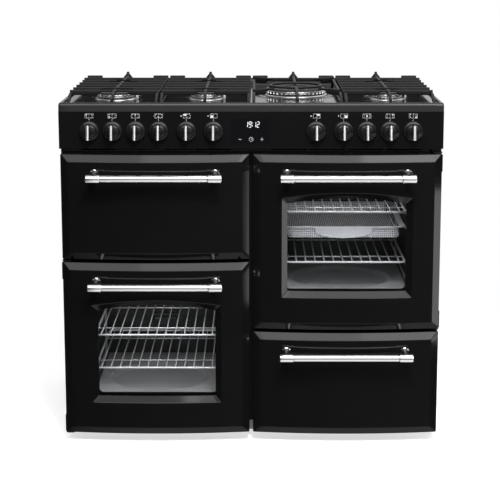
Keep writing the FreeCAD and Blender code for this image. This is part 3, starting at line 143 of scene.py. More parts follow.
# ---- shader maths ----
class Socket:
    """An output socket whose arithmetic adds Math nodes, so that a mask is written as an expression."""
    def __init__(self, shader, link):
        self.shader, self.link = shader, link

    def _math(self, operation, *values):
        return self.shader.node("Math", {"operation": operation}, dict(enumerate(values)))

    def __add__(self, other):
        return self._math("ADD", self, other)

    def __sub__(self, other):
        return self._math("SUBTRACT", self, other)

    def __rsub__(self, other):
        return self._math("SUBTRACT", other, self)

    def __mul__(self, other):
        return self._math("MULTIPLY", self, other)

    __radd__, __rmul__ = __add__, __mul__

    def over(self, edge, soft):
        """0 below edge, 1 above it, over a width of soft."""
        return self.shader.node("MapRange", {"interpolation_type": "SMOOTHSTEP"},
                                {"Value": self, "From Min": edge - soft, "From Max": edge + soft})

    def blend(self, low, high):
        """Colour that goes from low to high as the value goes from 0 to 1."""
        return self.shader.node("Mix", {"data_type": "RGBA"}, {0: self, 6: colour(low), 7: colour(high)}, 2)


def colour(value):
    """A grey number or an RGB triple as RGBA; a socket stays as it is."""
    if isinstance(value, Socket):
        return value
    return (value, value, value, 1.0) if isinstance(value, (int, float)) else (*value, 1.0)[:4]


class Shader:
    """One material and its nodes."""
    def __init__(self, name):
        self.material = bpy.data.materials.new(name)
        self.material.use_nodes = True
        self.tree = self.material.node_tree
        self.tree.nodes.clear()
        self.output = self.tree.nodes.new("ShaderNodeOutputMaterial")

    def node(self, kind, settings=None, values=None, out=0):
        """Adds a node: its settings first, then the values or links of its sockets."""
        made = self.tree.nodes.new("ShaderNode" + kind)
        for key, value in (settings or {}).items():
            setattr(made, key, value)
        for key, value in (values or {}).items():
            if isinstance(value, Socket):
                self.tree.links.new(value.link, made.inputs[key])
            else:
                made.inputs[key].default_value = value
        return Socket(self, made.outputs[out])

    def place(self, stretch=(1.0, 1.0, 1.0)):
        """Object coordinates in metres, stretched along each axis."""
        at = self.node("TexCoord", out=3)
        return self.node("VectorMath", {"operation": "MULTIPLY"}, {0: at, 1: stretch})

    def noise(self, scale, detail, stretch=(1.0, 1.0, 1.0), rough=0.5):
        """Cloudy value from 0 to 1 with about scale features per metre."""
        return self.node("TexNoise", None, {"Vector": self.place(stretch), "Scale": scale, "Detail": detail,
                                            "Roughness": rough})

    def cells(self, scale, out=0):
        """Cell pattern with about scale cells per metre."""
        return self.node("TexVoronoi", None, {"Vector": self.place(), "Scale": scale}, out)

    def bump(self, height, depth):
        """Normal from a height of 0 to 1 that stands for depth in mm."""
        return self.node("Bump", None, {"Height": height, "Distance": depth / 1000.0})

    def finish(self, **sockets):
        """Principled shader from named sockets, on the output."""
        names = {key.replace("_", " "): colour(value) if key in ("Base_Color", "Emission_Color") else value
                 for key, value in sockets.items()}
        shader = self.node("BsdfPrincipled", None, names)
        self.tree.links.new(shader.link, self.output.inputs[0])
        return self.material


def scaled(base, factor):
    """An RGB triple, darker or lighter."""
    return tuple(c * factor for c in base)


def enamel(name, base, gloss, wave, level):
    """Glossy stoved enamel: slow waves of the sheet, fine orange peel, faint haze and dust."""
    s = Shader(name)
    haze = s.noise(7.0, 4.0)
    dust = s.noise(900.0, 1.0).over(0.74, 0.03)
    peel = s.noise(260.0, 2.0) * 0.35 + s.noise(5.0, 1.0) * (wave * 40)
    shade = (haze * 0.35).blend(base, tuple(c * 1.7 + 0.001 for c in base))
    return s.finish(Base_Color=shade, Roughness=haze * 0.05 + dust * 0.12 + (gloss - 0.02),
                    Normal=s.bump(peel, 0.02), Specular_IOR_Level=level)


def cast_iron(name, base, rough, grain):
    """Matt enamelled casting: sand grain at two scales, slightly burnished high spots."""
    s = Shader(name)
    sand = s.noise(1300.0, 3.0, rough=0.65)
    coarse = s.noise(140.0, 3.0)
    shade = (coarse * 0.6 + sand * 0.4).blend(scaled(base, 0.6), scaled(base, 1.7))
    return s.finish(Base_Color=shade, Roughness=rough + sand * 0.18 - coarse * 0.08, Specular_IOR_Level=0.16,
                    Normal=s.bump(sand * 0.7 + coarse * 0.6, grain))


def bright_metal(name, base, rough, stretch, streak, scale, marks=0.0, metal=1.0):
    """Metal with fine brushed lines along the axis that stretch keeps small, and faint smudges."""
    s = Shader(name)
    lines = s.noise(scale, 4.0, stretch, 0.7)
    smudge = s.noise(16.0, 3.0)
    dents = s.noise(300.0, 2.0) * marks
    shade = (lines * 0.5 + smudge * 0.5).blend(scaled(base, 0.82), base)
    return s.finish(Base_Color=shade, Metallic=metal, Roughness=rough + smudge * 0.05 + lines * 0.05 - 0.04,
                    Normal=s.bump(lines + dents, streak))


def galvanised_sheet():
    """Zinc-coated sheet with its spangle in cells of about a centimetre."""
    s = Shader("galvanised_sheet")
    spangle = s.cells(95.0, out=1)
    grey = s.node("RGBToBW", None, {0: spangle})
    fine = s.noise(700.0, 2.0)
    return s.finish(Base_Color=(grey * 0.6 + fine * 0.4).blend((0.30, 0.31, 0.32), (0.52, 0.53, 0.54)),
                    Metallic=1.0, Roughness=0.34 + grey * 0.16, Normal=s.bump(fine, 0.01))


def speckled_enamel(name, dark, pale, gloss):
    """Vitreous enamel of the cavities, with paler flecks of several sizes."""
    s = Shader(name)
    small = 1 - s.cells(620.0).over(0.20, 0.05)
    large = 1 - s.cells(210.0).over(0.11, 0.03)
    tone = s.noise(30.0, 2.0)
    shade = tone.blend((dark * 0.9,) * 3, (dark * 1.15,) * 3)
    shade = (small * 0.25 + large * 0.4).blend(shade, (pale,) * 3)
    return s.finish(Base_Color=shade, Roughness=gloss + tone * 0.08, Specular_IOR_Level=0.3,
                    Normal=s.bump(s.noise(420.0, 2.0), 0.03))


def moulded(name, base, rough, grain=0.02):
    """Moulded plastic or rubber with a fine skin texture and slight shade change."""
    s = Shader(name)
    skin = s.noise(900.0, 2.0)
    cloud = s.noise(25.0, 2.0)
    return s.finish(Base_Color=cloud.blend(scaled(base, 0.8), scaled(base, 1.25)),
                    Roughness=rough + skin * 0.08 - 0.04, Specular_IOR_Level=0.25, Normal=s.bump(skin, grain))


def window_glass():
    """Nearly clear pane that mirrors a little at grazing angles."""
    s = Shader("window_glass")
    smear = s.noise(9.0, 3.0)
    clear = s.node("BsdfTransparent", None, {"Color": (0.965, 0.97, 0.975, 1.0)})
    mirror = s.node("BsdfGlossy", None, {"Color": (0.9, 0.92, 0.95, 1.0), "Roughness": smear * 0.02 + 0.01})
    edge = s.node("Fresnel", None, {"IOR": 1.10})
    mix = s.node("MixShader", None, {0: edge, 1: clear, 2: mirror})
    s.tree.links.new(mix.link, s.output.inputs[0])
    return s.material


def printed(name, base, glow):
    """Thin print or lit segment, slightly uneven."""
    s = Shader(name)
    wear = s.noise(800.0, 2.0)
    shade = wear.blend(scaled(base, 0.85), base)
    return s.finish(Base_Color=shade, Roughness=0.45 + wear * 0.1, Emission_Color=shade,
                    Emission_Strength=glow)


def pierced(name, base, pitch, hole, rough):
    """Sheet with rows of round holes: alpha from the distance to the nearest point of a square lattice."""
    s = Shader(name)
    at = s.place((1.0 / pitch, 1.0 / pitch, 1.0 / pitch))
    cell = s.node("VectorMath", {"operation": "FRACTION"}, {0: at})
    middle = s.node("VectorMath", {"operation": "SUBTRACT"}, {0: cell, 1: (0.5, 0.5, 0.5)})
    x, y, z = (s.node("SeparateXYZ", None, {0: middle}, i) for i in range(3))
    faces_front, faces_up = (s.node("SeparateXYZ", None, {0: s.node("NewGeometry", out=1)}, i)
                             for i in (1, 2))
    wall = (faces_front * faces_front).over(0.5, 0.1)
    floor = (faces_up * faces_up).over(0.5, 0.1)
    across = x * x + y * y * floor + z * z * wall
    solid = across.over(hole * hole, hole * hole * 0.25)
    grain = s.noise(500.0, 2.0)
    return s.finish(Base_Color=grain.blend(scaled(base, 0.8), base), Metallic=0.3,
                    Roughness=rough + grain * 0.08, Alpha=solid)


FRONT_ENAMEL = enamel("front_enamel", (0.0028, 0.0028, 0.0030), 0.085, 0.006, 0.2)
FRAME_ENAMEL = enamel("frame_enamel", (0.007, 0.007, 0.008), 0.16, 0.02, 0.25)
FASCIA_ENAMEL = enamel("fascia_enamel", (0.0030, 0.0030, 0.0033), 0.12, 0.004, 0.15)
HOB_ENAMEL = enamel("hob_enamel", (0.006, 0.006, 0.0065), 0.10, 0.006, 0.3)
CASING_PAINT = enamel("casing_paint", (0.012, 0.012, 0.013), 0.30, 0.02, 0.4)
CAVITY = speckled_enamel("speckled_enamel", 0.020, 0.10, 0.30)
GALVANISED = galvanised_sheet()
HANDLE_STEEL = bright_metal("handle_steel", (0.90, 0.90, 0.91), 0.08, (0.02, 1.0, 1.0), 0.004, 900.0)
CHROME = bright_metal("rack_chrome", (0.62, 0.62, 0.63), 0.28, (1.0, 1.0, 1.0), 0.002, 60.0, metal=0.45)
BRIGHT_TRIM = bright_metal("bright_trim", (0.92, 0.92, 0.93), 0.20, (1.0, 1.0, 0.03), 0.003, 900.0)
ALLOY = bright_metal("burner_alloy", (0.72, 0.72, 0.73), 0.30, (1.0, 1.0, 0.2), 0.02, 420.0, 0.5)
PIPE_STEEL = bright_metal("pipe_steel", (0.50, 0.50, 0.50), 0.34, (0.05, 1.0, 1.0), 0.01, 400.0)
ELEMENT = bright_metal("element_steel", (0.17, 0.16, 0.15), 0.42, (1.0, 1.0, 1.0), 0.02, 300.0, 0.5)
PLATE_STEEL = bright_metal("basket_plate_steel", (0.74, 0.74, 0.75), 0.34, (0.03, 1.0, 1.0), 0.008, 900.0,
                           metal=0.3)
MESH = pierced("pierced_mesh", (0.80, 0.80, 0.81), 0.0052, 0.36, 0.30)
IRON = cast_iron("cast_iron", (0.0060, 0.0060, 0.0063), 0.42, 0.10)
CAP = cast_iron("cap_enamel", (0.013, 0.013, 0.014), 0.30, 0.04)
KNOB = moulded("knob_plastic", (0.006, 0.006, 0.0065), 0.20, 0.004)
RUBBER = moulded("seal_rubber", (0.030, 0.030, 0.030), 0.62)
UNIT = moulded("unit_plastic", (0.090, 0.090, 0.095), 0.48)
FOOT = moulded("foot_plastic", (0.025, 0.025, 0.026), 0.55)
CERAMIC = moulded("igniter_ceramic", (0.40, 0.39, 0.37), 0.40)
DISPLAY = enamel("display_glass", (0.0025, 0.0025, 0.003), 0.06, 0.0, 0.15)
# Paler copy of the cavity enamel for the oven floors: painted light, standing in for the lamp light that
# falls on the floor and not on the dark walls.
LIT_FLOOR_PAINT = speckled_enamel("oven_floor_painted_light", 0.24, 0.34, 0.30)
GLASS = window_glass()
PRINT = printed("pale_print", (0.52, 0.52, 0.53), 0.0)
LIT = printed("lit_segment", (0.90, 0.94, 1.0), 1.0)

SLOT_FINISH = {"black_enamel": FRONT_ENAMEL, "frame_enamel": FRAME_ENAMEL, "casing_paint": CASING_PAINT,
               "hob_enamel": HOB_ENAMEL, "fascia_enamel": FASCIA_ENAMEL, "display_glass": DISPLAY,
               "door_glass": GLASS, "cavity_enamel": CAVITY, "galvanised": GALVANISED,
               "polished_steel": HANDLE_STEEL, "rack_chrome": CHROME, "cast_iron": IRON, "cap_enamel": CAP,
               "burner_alloy": ALLOY, "knob_plastic": KNOB, "seal_rubber": RUBBER, "unit_plastic": UNIT,
               "pipe_steel": PIPE_STEEL, "element_steel": ELEMENT, "foot_plastic": FOOT}
for part in frame["record"]["subparts"]:
    node = nodes[part["node"]]
    for material_slot in node.material_slots:
        is_fan = part["node"].endswith("_fan")
        material_slot.material = ELEMENT if is_fan else SLOT_FINISH[part["material_slot"]]


# ---- grids, profiles and paths ----
def put(name, data):
    """An object that holds data, in the scene."""
    made = bpy.data.objects.new(name, data)
    bpy.context.scene.collection.objects.link(made)
    return made


class Form:
    """Grids of points that become one mesh."""
    def __init__(self):
        self.points, self.faces, self.paint, self.count = [], [], [], 0

    def grids(self, batch, wrap=True, paint=0):
        """A batch of grids, shaped (how many, rows, columns, 3); wrap joins the last column to the first."""
        batch = np.asarray(batch, float)
        many, rows, columns = batch.shape[:3]
        index = np.arange(many * rows * columns).reshape(many, rows, columns) + self.count
        if wrap:
            index = np.concatenate([index, index[:, :, :1]], 2)
        quads = np.stack([index[:, :-1, :-1], index[:, 1:, :-1], index[:, 1:, 1:], index[:, :-1, 1:]], -1)
        self.points.append(batch.reshape(-1, 3))
        self.faces.append(quads.reshape(-1, 4))
        self.paint.append(np.broadcast_to(paint, quads.shape[:3]).reshape(-1))
        self.count += many * rows * columns
        return self

    def grid(self, points, wrap=True, paint=0):
        """One grid."""
        return self.grids(np.asarray(points, float)[None], wrap, paint)

    def piece(self, name, body, slot_name, finishes, closed=True, sharp=38.0):
        """Merges the seams, turns the faces outwards and puts the mesh on its body."""
        mesh = bpy.data.meshes.new(name)
        mesh.from_pydata(metres(np.concatenate(self.points)), [], np.concatenate(self.faces).tolist())
        mesh.polygons.foreach_set("material_index", np.concatenate(self.paint).astype(np.int32))
        for finish in finishes if isinstance(finishes, (list, tuple)) else [finishes]:
            mesh.materials.append(finish)
        shaped = bmesh.new()
        shaped.from_mesh(mesh)
        bmesh.ops.remove_doubles(shaped, verts=shaped.verts, dist=2e-6)
        bmesh.ops.dissolve_degenerate(shaped, edges=shaped.edges, dist=1e-7)
        if closed:
            bmesh.ops.recalc_face_normals(shaped, faces=shaped.faces)
        shaped.to_mesh(mesh)
        shaped.free()
        mesh.shade_smooth()
        mesh.set_sharp_from_angle(angle=math.radians(sharp))
        made = put(name, mesh)
        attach(made, body)
        return made


def soften(points, radius, steps, closed=False):
    """Rounds the corners of a line: each becomes a quadratic curve that starts and ends radius away."""
    p = np.asarray(points, float)
    before, after = np.roll(p, 1, 0), np.roll(p, -1, 0)
    reach = [np.linalg.norm(q - p, axis=1, keepdims=True) for q in (before, after)]
    a, b = (p + (q - p) * np.minimum(radius / np.maximum(r, 1e-9), 0.48)
            for q, r in zip((before, after), reach))
    t = np.linspace(0, 1, steps)[None, :, None]
    curve = (1 - t) ** 2 * a[:, None] + 2 * t * (1 - t) * p[:, None] + t ** 2 * b[:, None]
    if closed:
        return curve.reshape(-1, p.shape[1])
    return np.concatenate([p[:1], curve[1:-1].reshape(-1, p.shape[1]), p[-1:]])


def lathe(centre, profile, axis, sides):
    """Turns a profile of (radius, height) about an axis: (r cos a, r sin a, h)."""
    a = np.linspace(0, 2 * np.pi, sides, endpoint=False)
    r, h = np.asarray(profile, float).T
    ring = [r[:, None] * np.cos(a), r[:, None] * np.sin(a), h[:, None] + 0 * a]
    order = {"Z": (0, 1, 2), "Y": (0, 2, 1), "X": (2, 0, 1)}[axis]
    return np.stack([ring[k] for k in order], -1) + np.asarray(centre, float)


def tube(path, radius, sides, reference=(0.0, 0.0, 1.0)):
    """Carries a circle along a path, across its tangent, and draws both ends in to a point."""
    p = np.asarray(path, float)
    r = np.broadcast_to(np.asarray(radius, float), len(p))
    along = np.gradient(p, axis=0)
    along /= np.linalg.norm(along, axis=1, keepdims=True)
    across = np.cross(along, reference)
    across /= np.maximum(np.linalg.norm(across, axis=1, keepdims=True), 1e-9)
    up = np.cross(across, along)
    a = np.linspace(0, 2 * np.pi, sides, endpoint=False)[None, :, None]
    rings = p[:, None] + r[:, None, None] * (np.cos(a) * across[:, None] + np.sin(a) * up[:, None])
    ends = [np.repeat(q[None, None], sides, 1) for q in (p[0], p[-1])]
    return np.concatenate([ends[0], rings, ends[1]])


def wires(starts, ends, radius, sides=8):
    """Many straight round wires at once, each with slightly rounded ends, as a batch of grids."""
    a, b = np.asarray(starts, float), np.asarray(ends, float)
    along = b - a
    length = np.linalg.norm(along, axis=1, keepdims=True)
    along /= length
    helper = np.where(np.abs(along[:, 2:3]) > 0.9, [[1.0, 0, 0]], [[0, 0, 1.0]])
    across = np.cross(along, helper)
    across /= np.linalg.norm(across, axis=1, keepdims=True)
    up = np.cross(across, along)
    turn = np.linspace(0, 2 * np.pi, sides, endpoint=False)
    circle = np.cos(turn)[:, None] * across[:, None] + np.sin(turn)[:, None] * up[:, None]
    rows = [(a, 0.0), (a, 0.75 * radius), (a + along * radius * 0.3, radius),
            (b - along * radius * 0.3, radius), (b, 0.75 * radius), (b, 0.0)]
    return np.stack([middle[:, None] + r * circle for middle, r in rows], 1)


def rounded_rectangle(x0, x1, z0, z1, radius, corner, side):
    """Points round a rectangle, anticlockwise from the lower left corner's end, with evenly filled sides."""
    turn = np.linspace(0, np.pi / 2, corner)
    parts = []
    centres = ((x0 + radius, z0 + radius), (x1 - radius, z0 + radius), (x1 - radius, z1 - radius),
               (x0 + radius, z1 - radius))
    for k, (cx, cz) in enumerate(centres):
        angle = turn + np.pi + k * np.pi / 2
        parts.append(np.stack([cx + radius * np.cos(angle), cz + radius * np.sin(angle)], -1))
    ring = []
    for k in range(4):
        start, end = parts[k][-1], parts[(k + 1) % 4][0]
        t = np.linspace(0, 1, side + 2)[1:-1, None]
        ring += [parts[k], start + (end - start) * t]
    return np.concatenate(ring)


def upright(ring, y):
    """Points of (x, z) stood at depth y."""
    return np.stack([ring[..., 0], np.full(ring.shape[:-1], y), ring[..., 1]], -1)


def lying(ring, z):
    """A ring of (x, y) laid at height z."""
    return np.column_stack([ring, np.full(len(ring), z)])


def smooth(t):
    """Smooth step of t, held between 0 and 1."""
    t = np.clip(t, 0, 1)
    return t * t * (3 - 2 * t)


def slab(rows, centre=(0.0, 0.0), **ring):
    """Rings of rounded rectangles stacked along y; each row is (half width, half height, corner radius, y).
    A first or last row of no size closes that end."""
    return np.stack([upright(rounded_rectangle(-w, w, -h, h, radius, **ring) + centre, y)
                     for w, h, radius, y in rows])


def box_form(x0, x1, y0, y1, z0, z1, edge=0.8):
    """A block with rounded edges, as rings of rounded rectangles from front to back."""
    hx, hz = (x1 - x0) / 2, (z1 - z0) / 2
    e = min(edge, hx * 0.9, hz * 0.9, (y1 - y0) * 0.45)
    insets = ((e, y0), (0.3 * e, y0 + 0.3 * e), (0.0, y0 + e), (0.0, y1 - e), (0.3 * e, y1 - 0.3 * e),
              (e, y1))
    rows = [(hx - d, hz - d, min(e, (hx - d) * 0.9, (hz - d) * 0.9), y) for d, y in insets]
    rows = [(0.0, 0.0, 0.0, y0)] + rows + [(0.0, 0.0, 0.0, y1)]
    return slab(rows, ((x0 + x1) / 2, (z0 + z1) / 2), corner=3, side=1)


# ---- bowed fronts ----
def bow(x, stand):
    """Depth of the bowed surface: a circle of the bow's radius plus stand, level with the rim's curve."""
    return BOW_R - BOW - np.sqrt((BOW_R + stand) ** 2 - x * x)


def on_bow(ring, cx, stand):
    """Lays a ring of (x, z) on the bow."""
    return np.stack([ring[:, 0], bow(ring[:, 0] - cx, stand), ring[:, 1]], -1)


def front_ring(cx, z0, height, inset, radius):
    """Outline of a front, drawn in by inset."""
    half = FRONT_W / 2 - inset
    return rounded_rectangle(cx - half, cx + half, z0 + inset, z0 + height - inset, radius, 6, 30)


def window_ring(cx, z0, grow):
    """Outline of a door window: a rectangle whose top is lifted by a parabola."""
    half = WINDOW_W / 2 + grow
    low, top = z0 + WINDOW_BOTTOM - grow, z0 + WINDOW_SIDE_TOP + grow
    ring = rounded_rectangle(cx - half, cx + half, low, top, 2.0, 6, 30)
    share = np.clip((ring[:, 1] - low) / (top - low), 0, 1)
    ring[:, 1] += WINDOW_RISE * (1 - ((ring[:, 0] - cx) / half) ** 2) * share
    return ring


def front_rows(cx, z0, height):
    """Rings of a front from inside its skirt, over the rim and up the bevel to the bowed face."""
    back, edge = front_ring(cx, z0, height, 2.0, 1.0), front_ring(cx, z0, height, 0.0, 3.0)
    flat = [upright(r, y) for r, y in ((back, SKIRT_BACK - 8), (back, SKIRT_BACK - 0.4), (edge, SKIRT_BACK))]
    ramp = ((1.0, 3.0), (1.5, 3.0), (9.0, 2.4), (BEVEL_W - 1.3, 1.6), (BEVEL_W - 0.9, 1.5))
    steps = [(0.0, -3.0, 3.0), (0.1, -1.0, 3.0), (0.4, 0.1, 3.0)]
    steps += [(inset, inset * BEVEL_D / BEVEL_W, radius) for inset, radius in ramp]
    steps += [(BEVEL_W - 0.2, BEVEL_D - 0.20, 1.5), (BEVEL_W + 0.5, BEVEL_D - 0.02, 1.5),
              (BEVEL_W + 1.0, BEVEL_D, 1.5), (FACE_INSET, BEVEL_D, 1.5)]
    return flat + [on_bow(front_ring(cx, z0, height, e, r), cx, stand) for e, stand, r in steps]


def slot_columns(rows, x, top):
    """Rows of a front with columns at the edges of a slot at x, and its folded back edge closed beside it."""
    found = []
    for edge in (x - SLOT_REACH, x + SLOT_REACH):
        ring = rows[2]
        low = ring[:, 2] < ring[:, 2].min() + 0.01
        crossing = low[:-1] & low[1:] & ((ring[:-1, 0] - edge) * (ring[1:, 0] - edge) < 0)
        j = int(np.flatnonzero(crossing)[0])
        step = rows[:, j + 1] - rows[:, j]
        run = np.where(np.abs(step[:, 0]) < 1e-6, 1.0, step[:, 0])
        added = rows[:, j] + step * np.clip((edge - rows[:, j, 0]) / run, 0.02, 0.98)[:, None]
        rows = np.concatenate([rows[:, :j + 1], added[:, None], added[:, None], rows[:, j + 1:]], 1)
        found = [p + 2 if p > j else p for p in found] + [j + 1]
    first, last = sorted(found)
    rows[:2, first + 1:last + 1, 2] = rows[2, first + 1, 2]
    between = rows[..., 2] < top
    between[:, :first + 2] = between[:, last:] = False
    rows[..., 0][between] = x
    return rows


def open_slots(piece, places, top):
    """Takes a piece's faces out of the slots at these x places, below the slots' top; both in metres."""
    shape = bmesh.new()
    shape.from_mesh(piece.data)
    middles = [(face, face.calc_center_median()) for face in shape.faces]
    inside = [face for face, at in middles
              if at.z < top and min(abs(at.x - x) for x in places) < SLOT_REACH / 1000]
    bmesh.ops.delete(shape, geom=inside, context="FACES")
    shape.to_mesh(piece.data)
    shape.free()


def front_skin(name, body, has_window):
    """Enamelled skin of a front, with the window's tapered recess or a plain bowed face."""
    cx, z0, height = FRONTS[name]
    rows = front_rows(cx, z0, height)
    face = front_ring(cx, z0, height, FACE_INSET, 1.5)
    if has_window:
        mouth = window_ring(cx, z0, 1.3)
        shares = (0.16, 0.33, 0.5, 0.66, 0.83, 0.985, 1.0)
        rows += [on_bow(face + (mouth - face) * t, cx, BEVEL_D) for t in shares]
        recess = [(0.5, BEVEL_D - 0.03), (-0.2, BEVEL_D - 0.4)]
        recess += [(-e, BEVEL_D - e * WINDOW_DEPTH / WINDOW_BEVEL)
                   for e in (0.9, 1.4, 8.0, WINDOW_BEVEL - 0.8)]
        recess += [(-WINDOW_BEVEL, BEVEL_D - WINDOW_DEPTH), (-WINDOW_BEVEL, BEVEL_D - WINDOW_DEPTH - 1.0)]
        rows += [on_bow(window_ring(cx, z0, grow), cx, stand) for grow, stand in recess]
    else:
        middle = np.array([cx, z0 + height / 2])
        rows += [on_bow(middle + (face - middle) * t, cx, BEVEL_D) for t in np.linspace(1, 0, 12)[1:]]
    rows = np.stack(rows)
    slots = [cx - DROP_LUG_X, cx + DROP_LUG_X] if name == "grill" else []
    for x in slots:
        rows = slot_columns(rows, x, z0 + SLOT_UP)
    made = Form().grid(rows[:, ::-1]).piece(f"{name}_skin", body, "black_enamel", FRONT_ENAMEL, closed=False,
                                            sharp=24.0)
    if slots:
        open_slots(made, [x / 1000 for x in slots], (z0 + SLOT_UP) / 1000)
    return made


def pane(cx, z0):
    """Outer glass of a door: front and back faces on the bow, 4 mm apart, inside the recess."""
    ring = window_ring(cx, z0, -6.0)
    middle = np.array([cx, z0 + (WINDOW_BOTTOM + WINDOW_SIDE_TOP) / 2])
    near = BEVEL_D - WINDOW_DEPTH
    fill = np.linspace(0, 1, 9)
    return np.stack([on_bow(middle + (ring - middle) * t, cx, near) for t in fill]
                    + [on_bow(middle + (ring - middle) * t, cx, near - PANE_T) for t in fill[::-1]])


def doors():
    """Skins, glasses and hinge tabs of the doors, and the drawer's front."""
    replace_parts(front_skin("grill", "grill_door", False), "grill_door_skin")
    for side, sign in (("left", -1), ("right", 1)):
        name = f"{side}_oven"
        cx, z0, height = FRONTS[name]
        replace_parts(front_skin(name, f"{name}_door", True), f"{name}_door_skin")
        glass = Form().grid(pane(cx, z0))
        glass.grid(box_form(cx - 169, cx + 169, 30.5, 30.5 + PANE_T, z0 + 90, z0 + 360, 1.0))
        made = glass.piece(f"{name}_glasses", f"{name}_door", "door_glass", GLASS)
        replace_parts(made, f"{name}_door_glasses")
        tabs = Form()
        edge = cx + sign * FRONT_W / 2
        x0, x1 = sorted((edge - sign, edge + sign * 2))
        for low in (z0 + 2, z0 + height - TAB_H - 2):
            tabs.grid(box_form(x0, x1, 2, 24, low, low + TAB_H))
        tabs.piece(f"{name}_hinge_tabs", f"{name}_door", "black_enamel", FRONT_ENAMEL)
    skin = front_skin("drawer", "drawer", False)
    liner = Form().grid(box_form(COLUMN_X - 244.5, COLUMN_X + 244.5, 24, 26, 28, 303, 0.6))
    liner.grid(box_form(COLUMN_X - 221.5, COLUMN_X + 221.5, 25.5, 35.8, 51, 280, 3.0))
    back = liner.piece("drawer_front_liner", "drawer", "frame_enamel", FRAME_ENAMEL)
    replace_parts(skin, "drawer_front")
    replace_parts(back, "drawer_front")


def handles():
    """Bar handles: a turned bar with ferrules, on two posts that flare onto the bowed face."""
    half = HANDLE_L / 2
    ferrule = ((0, -half), (FERRULE_R - 1.2, -half), (FERRULE_R, -half + 1.2), (FERRULE_R, -half + 35),
               (FERRULE_R - 0.5, -half + 36), (HANDLE_R - 0.4, -half + 36.2), (HANDLE_R - 0.4, -half + 37.4),
               (HANDLE_R, -half + 37.8))
    profile = soften(ferrule + tuple((r, -h) for r, h in ferrule[::-1]), 0.7, 3)
    t = np.linspace(0, 1, 12)
    radius = 8.0 + 0.3 * t + 3.0 * np.clip((t - 0.86) / 0.14, 0, 1) ** 2
    for name, (cx, z0, height) in FRONTS.items():
        body = "drawer" if name == "drawer" else f"{name}_door"
        x, z = math.copysign(HANDLE_X, cx), z0 + height - HANDLE_DROP
        form = Form().grid(lathe((x, HANDLE_Y, z), profile, "X", 40))
        for px in (x - half + POST_IN, x + half - POST_IN):
            run = bow(px - cx, BEVEL_D) + 0.6 - HANDLE_Y - 4
            post = np.stack([px + 0 * t, HANDLE_Y + 4 + run * t, z + 7.5 * t ** 1.6], -1)
            form.grid(tube(post, radius, 28))
        made = form.piece(f"{name}_bar_handle", body, "polished_steel", HANDLE_STEEL)
        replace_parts(made, f"{name}_handle" if name == "drawer" else f"{name}_door_handle")


# ---- controls ----
def strip(centre):
    """Half-round bright strip on a knob's leaning grip, closed at both ends."""
    turn = np.linspace(-1, 1, 9)
    rows = []
    for z, out, wide in ((-18.6, 0.2, 0.0), (-18.6, 1.0, STRIP_HALF), (-18.0, 1.0, STRIP_HALF),
                         (18.0, 1.0, STRIP_HALF), (18.6, 1.0, STRIP_HALF), (18.6, 0.2, 0.0)):
        crest = -43.6 - 2.2 * out * np.sqrt(1.02 - turn * turn)
        arc = np.stack([turn * wide, crest + GRIP_LEAN * z, z + 0 * turn], -1)
        flat = np.stack([turn[::-1] * wide, -43.0 + GRIP_LEAN * z + 0 * turn, z + 0 * turn], -1)
        rows.append(np.concatenate([arc, flat]) + centre)
    for k in (0, -1):
        rows[k] = np.repeat(rows[k].mean(0)[None], len(rows[k]), 0)
    return np.stack(rows)


def controls():
    """Knobs: a stepped skirt and crowned disc turned about the axis, and a grip sheared so that its front
    leans back, with a bright strip on it."""
    skirt = soften([(0, -1), (25.6, -1), (26.3, -1.8), (26.3, -5.0), (24.4, -8.0), (19.8, -9.4),
                    (19.0, -10.6), (18.6, -16.2), (17.4, -17.6), (12.5, -19.4), (6.0, -20.2), (0, -20.4)],
                   0.8, 3)
    grip = slab([(0, 0, 0, -12), (4.6, 19.0, 4.0, -12), (5.0, 20.0, 4.6, -20), (4.8, 20.4, 4.6, -34),
                 (4.5, 20.4, 4.3, -41), (4.2, 19.8, 4.0, -42.8), (3.6, 18.9, 3.4, -43.4), (0, 0, 0, -43.4)],
                corner=6, side=2)
    grip[..., 1] += GRIP_LEAN * grip[..., 2] * np.clip((-grip[..., 1] - 14) / 29, 0, 1)
    spindle = [(0, 30), (3.6, 30), (4.0, 29.4), (4.0, -2), (0, -2)]
    for i, x in enumerate(sorted(OVEN_KNOBS + GAS_KNOBS), start=1):
        centre = (x, 0, KNOB_Z)
        form = Form().grid(lathe(centre, skirt, "Y", 56)).grid(grip + centre)
        form.grid(strip(centre), paint=1).grid(lathe(centre, spindle, "Y", 20), paint=1)
        made = form.piece(f"knob_{i:02d}_turned", f"knob_{i:02d}", "knob_plastic", [KNOB, BRIGHT_TRIM])
        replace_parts(made, f"knob_{i:02d}")


def dots(centres, radius, sides=12):
    """Thin round discs on the fascia, facing forward."""
    a = np.linspace(0, 2 * np.pi, sides, endpoint=False)
    ring = np.stack([np.cos(a), np.sin(a)], -1)
    c = np.asarray(centres, float)[:, None]
    return np.stack([upright(c + r * ring, y) for r, y in ((0.0, -0.1), (radius, -0.1), (radius, 0.05))], 1)


def strokes(lines, width):
    """Thin flat bars on the fascia between pairs of (x, z) points, facing forward."""
    p = np.asarray(lines, float)
    along = p[:, 1] - p[:, 0]
    along /= np.linalg.norm(along, axis=1, keepdims=True)
    across = np.stack([-along[:, 1], along[:, 0]], -1) * width / 2
    corners = np.stack([p[:, 0] - across, p[:, 1] - across, p[:, 1] + across, p[:, 0] + across], 1)
    middle = np.repeat(corners.mean(1)[:, None], 4, 1)
    return np.stack([upright(c, y) for c, y in ((middle, -0.1), (corners, -0.1), (corners, 0.05))], 1)


def circle_lines(centre, radius, steps):
    """Short chords of a circle."""
    a = np.radians(np.linspace(0, 360, steps + 1))
    p = np.stack([np.cos(a), np.sin(a)], -1) * radius + centre
    return np.stack([p[:-1], p[1:]], 1)


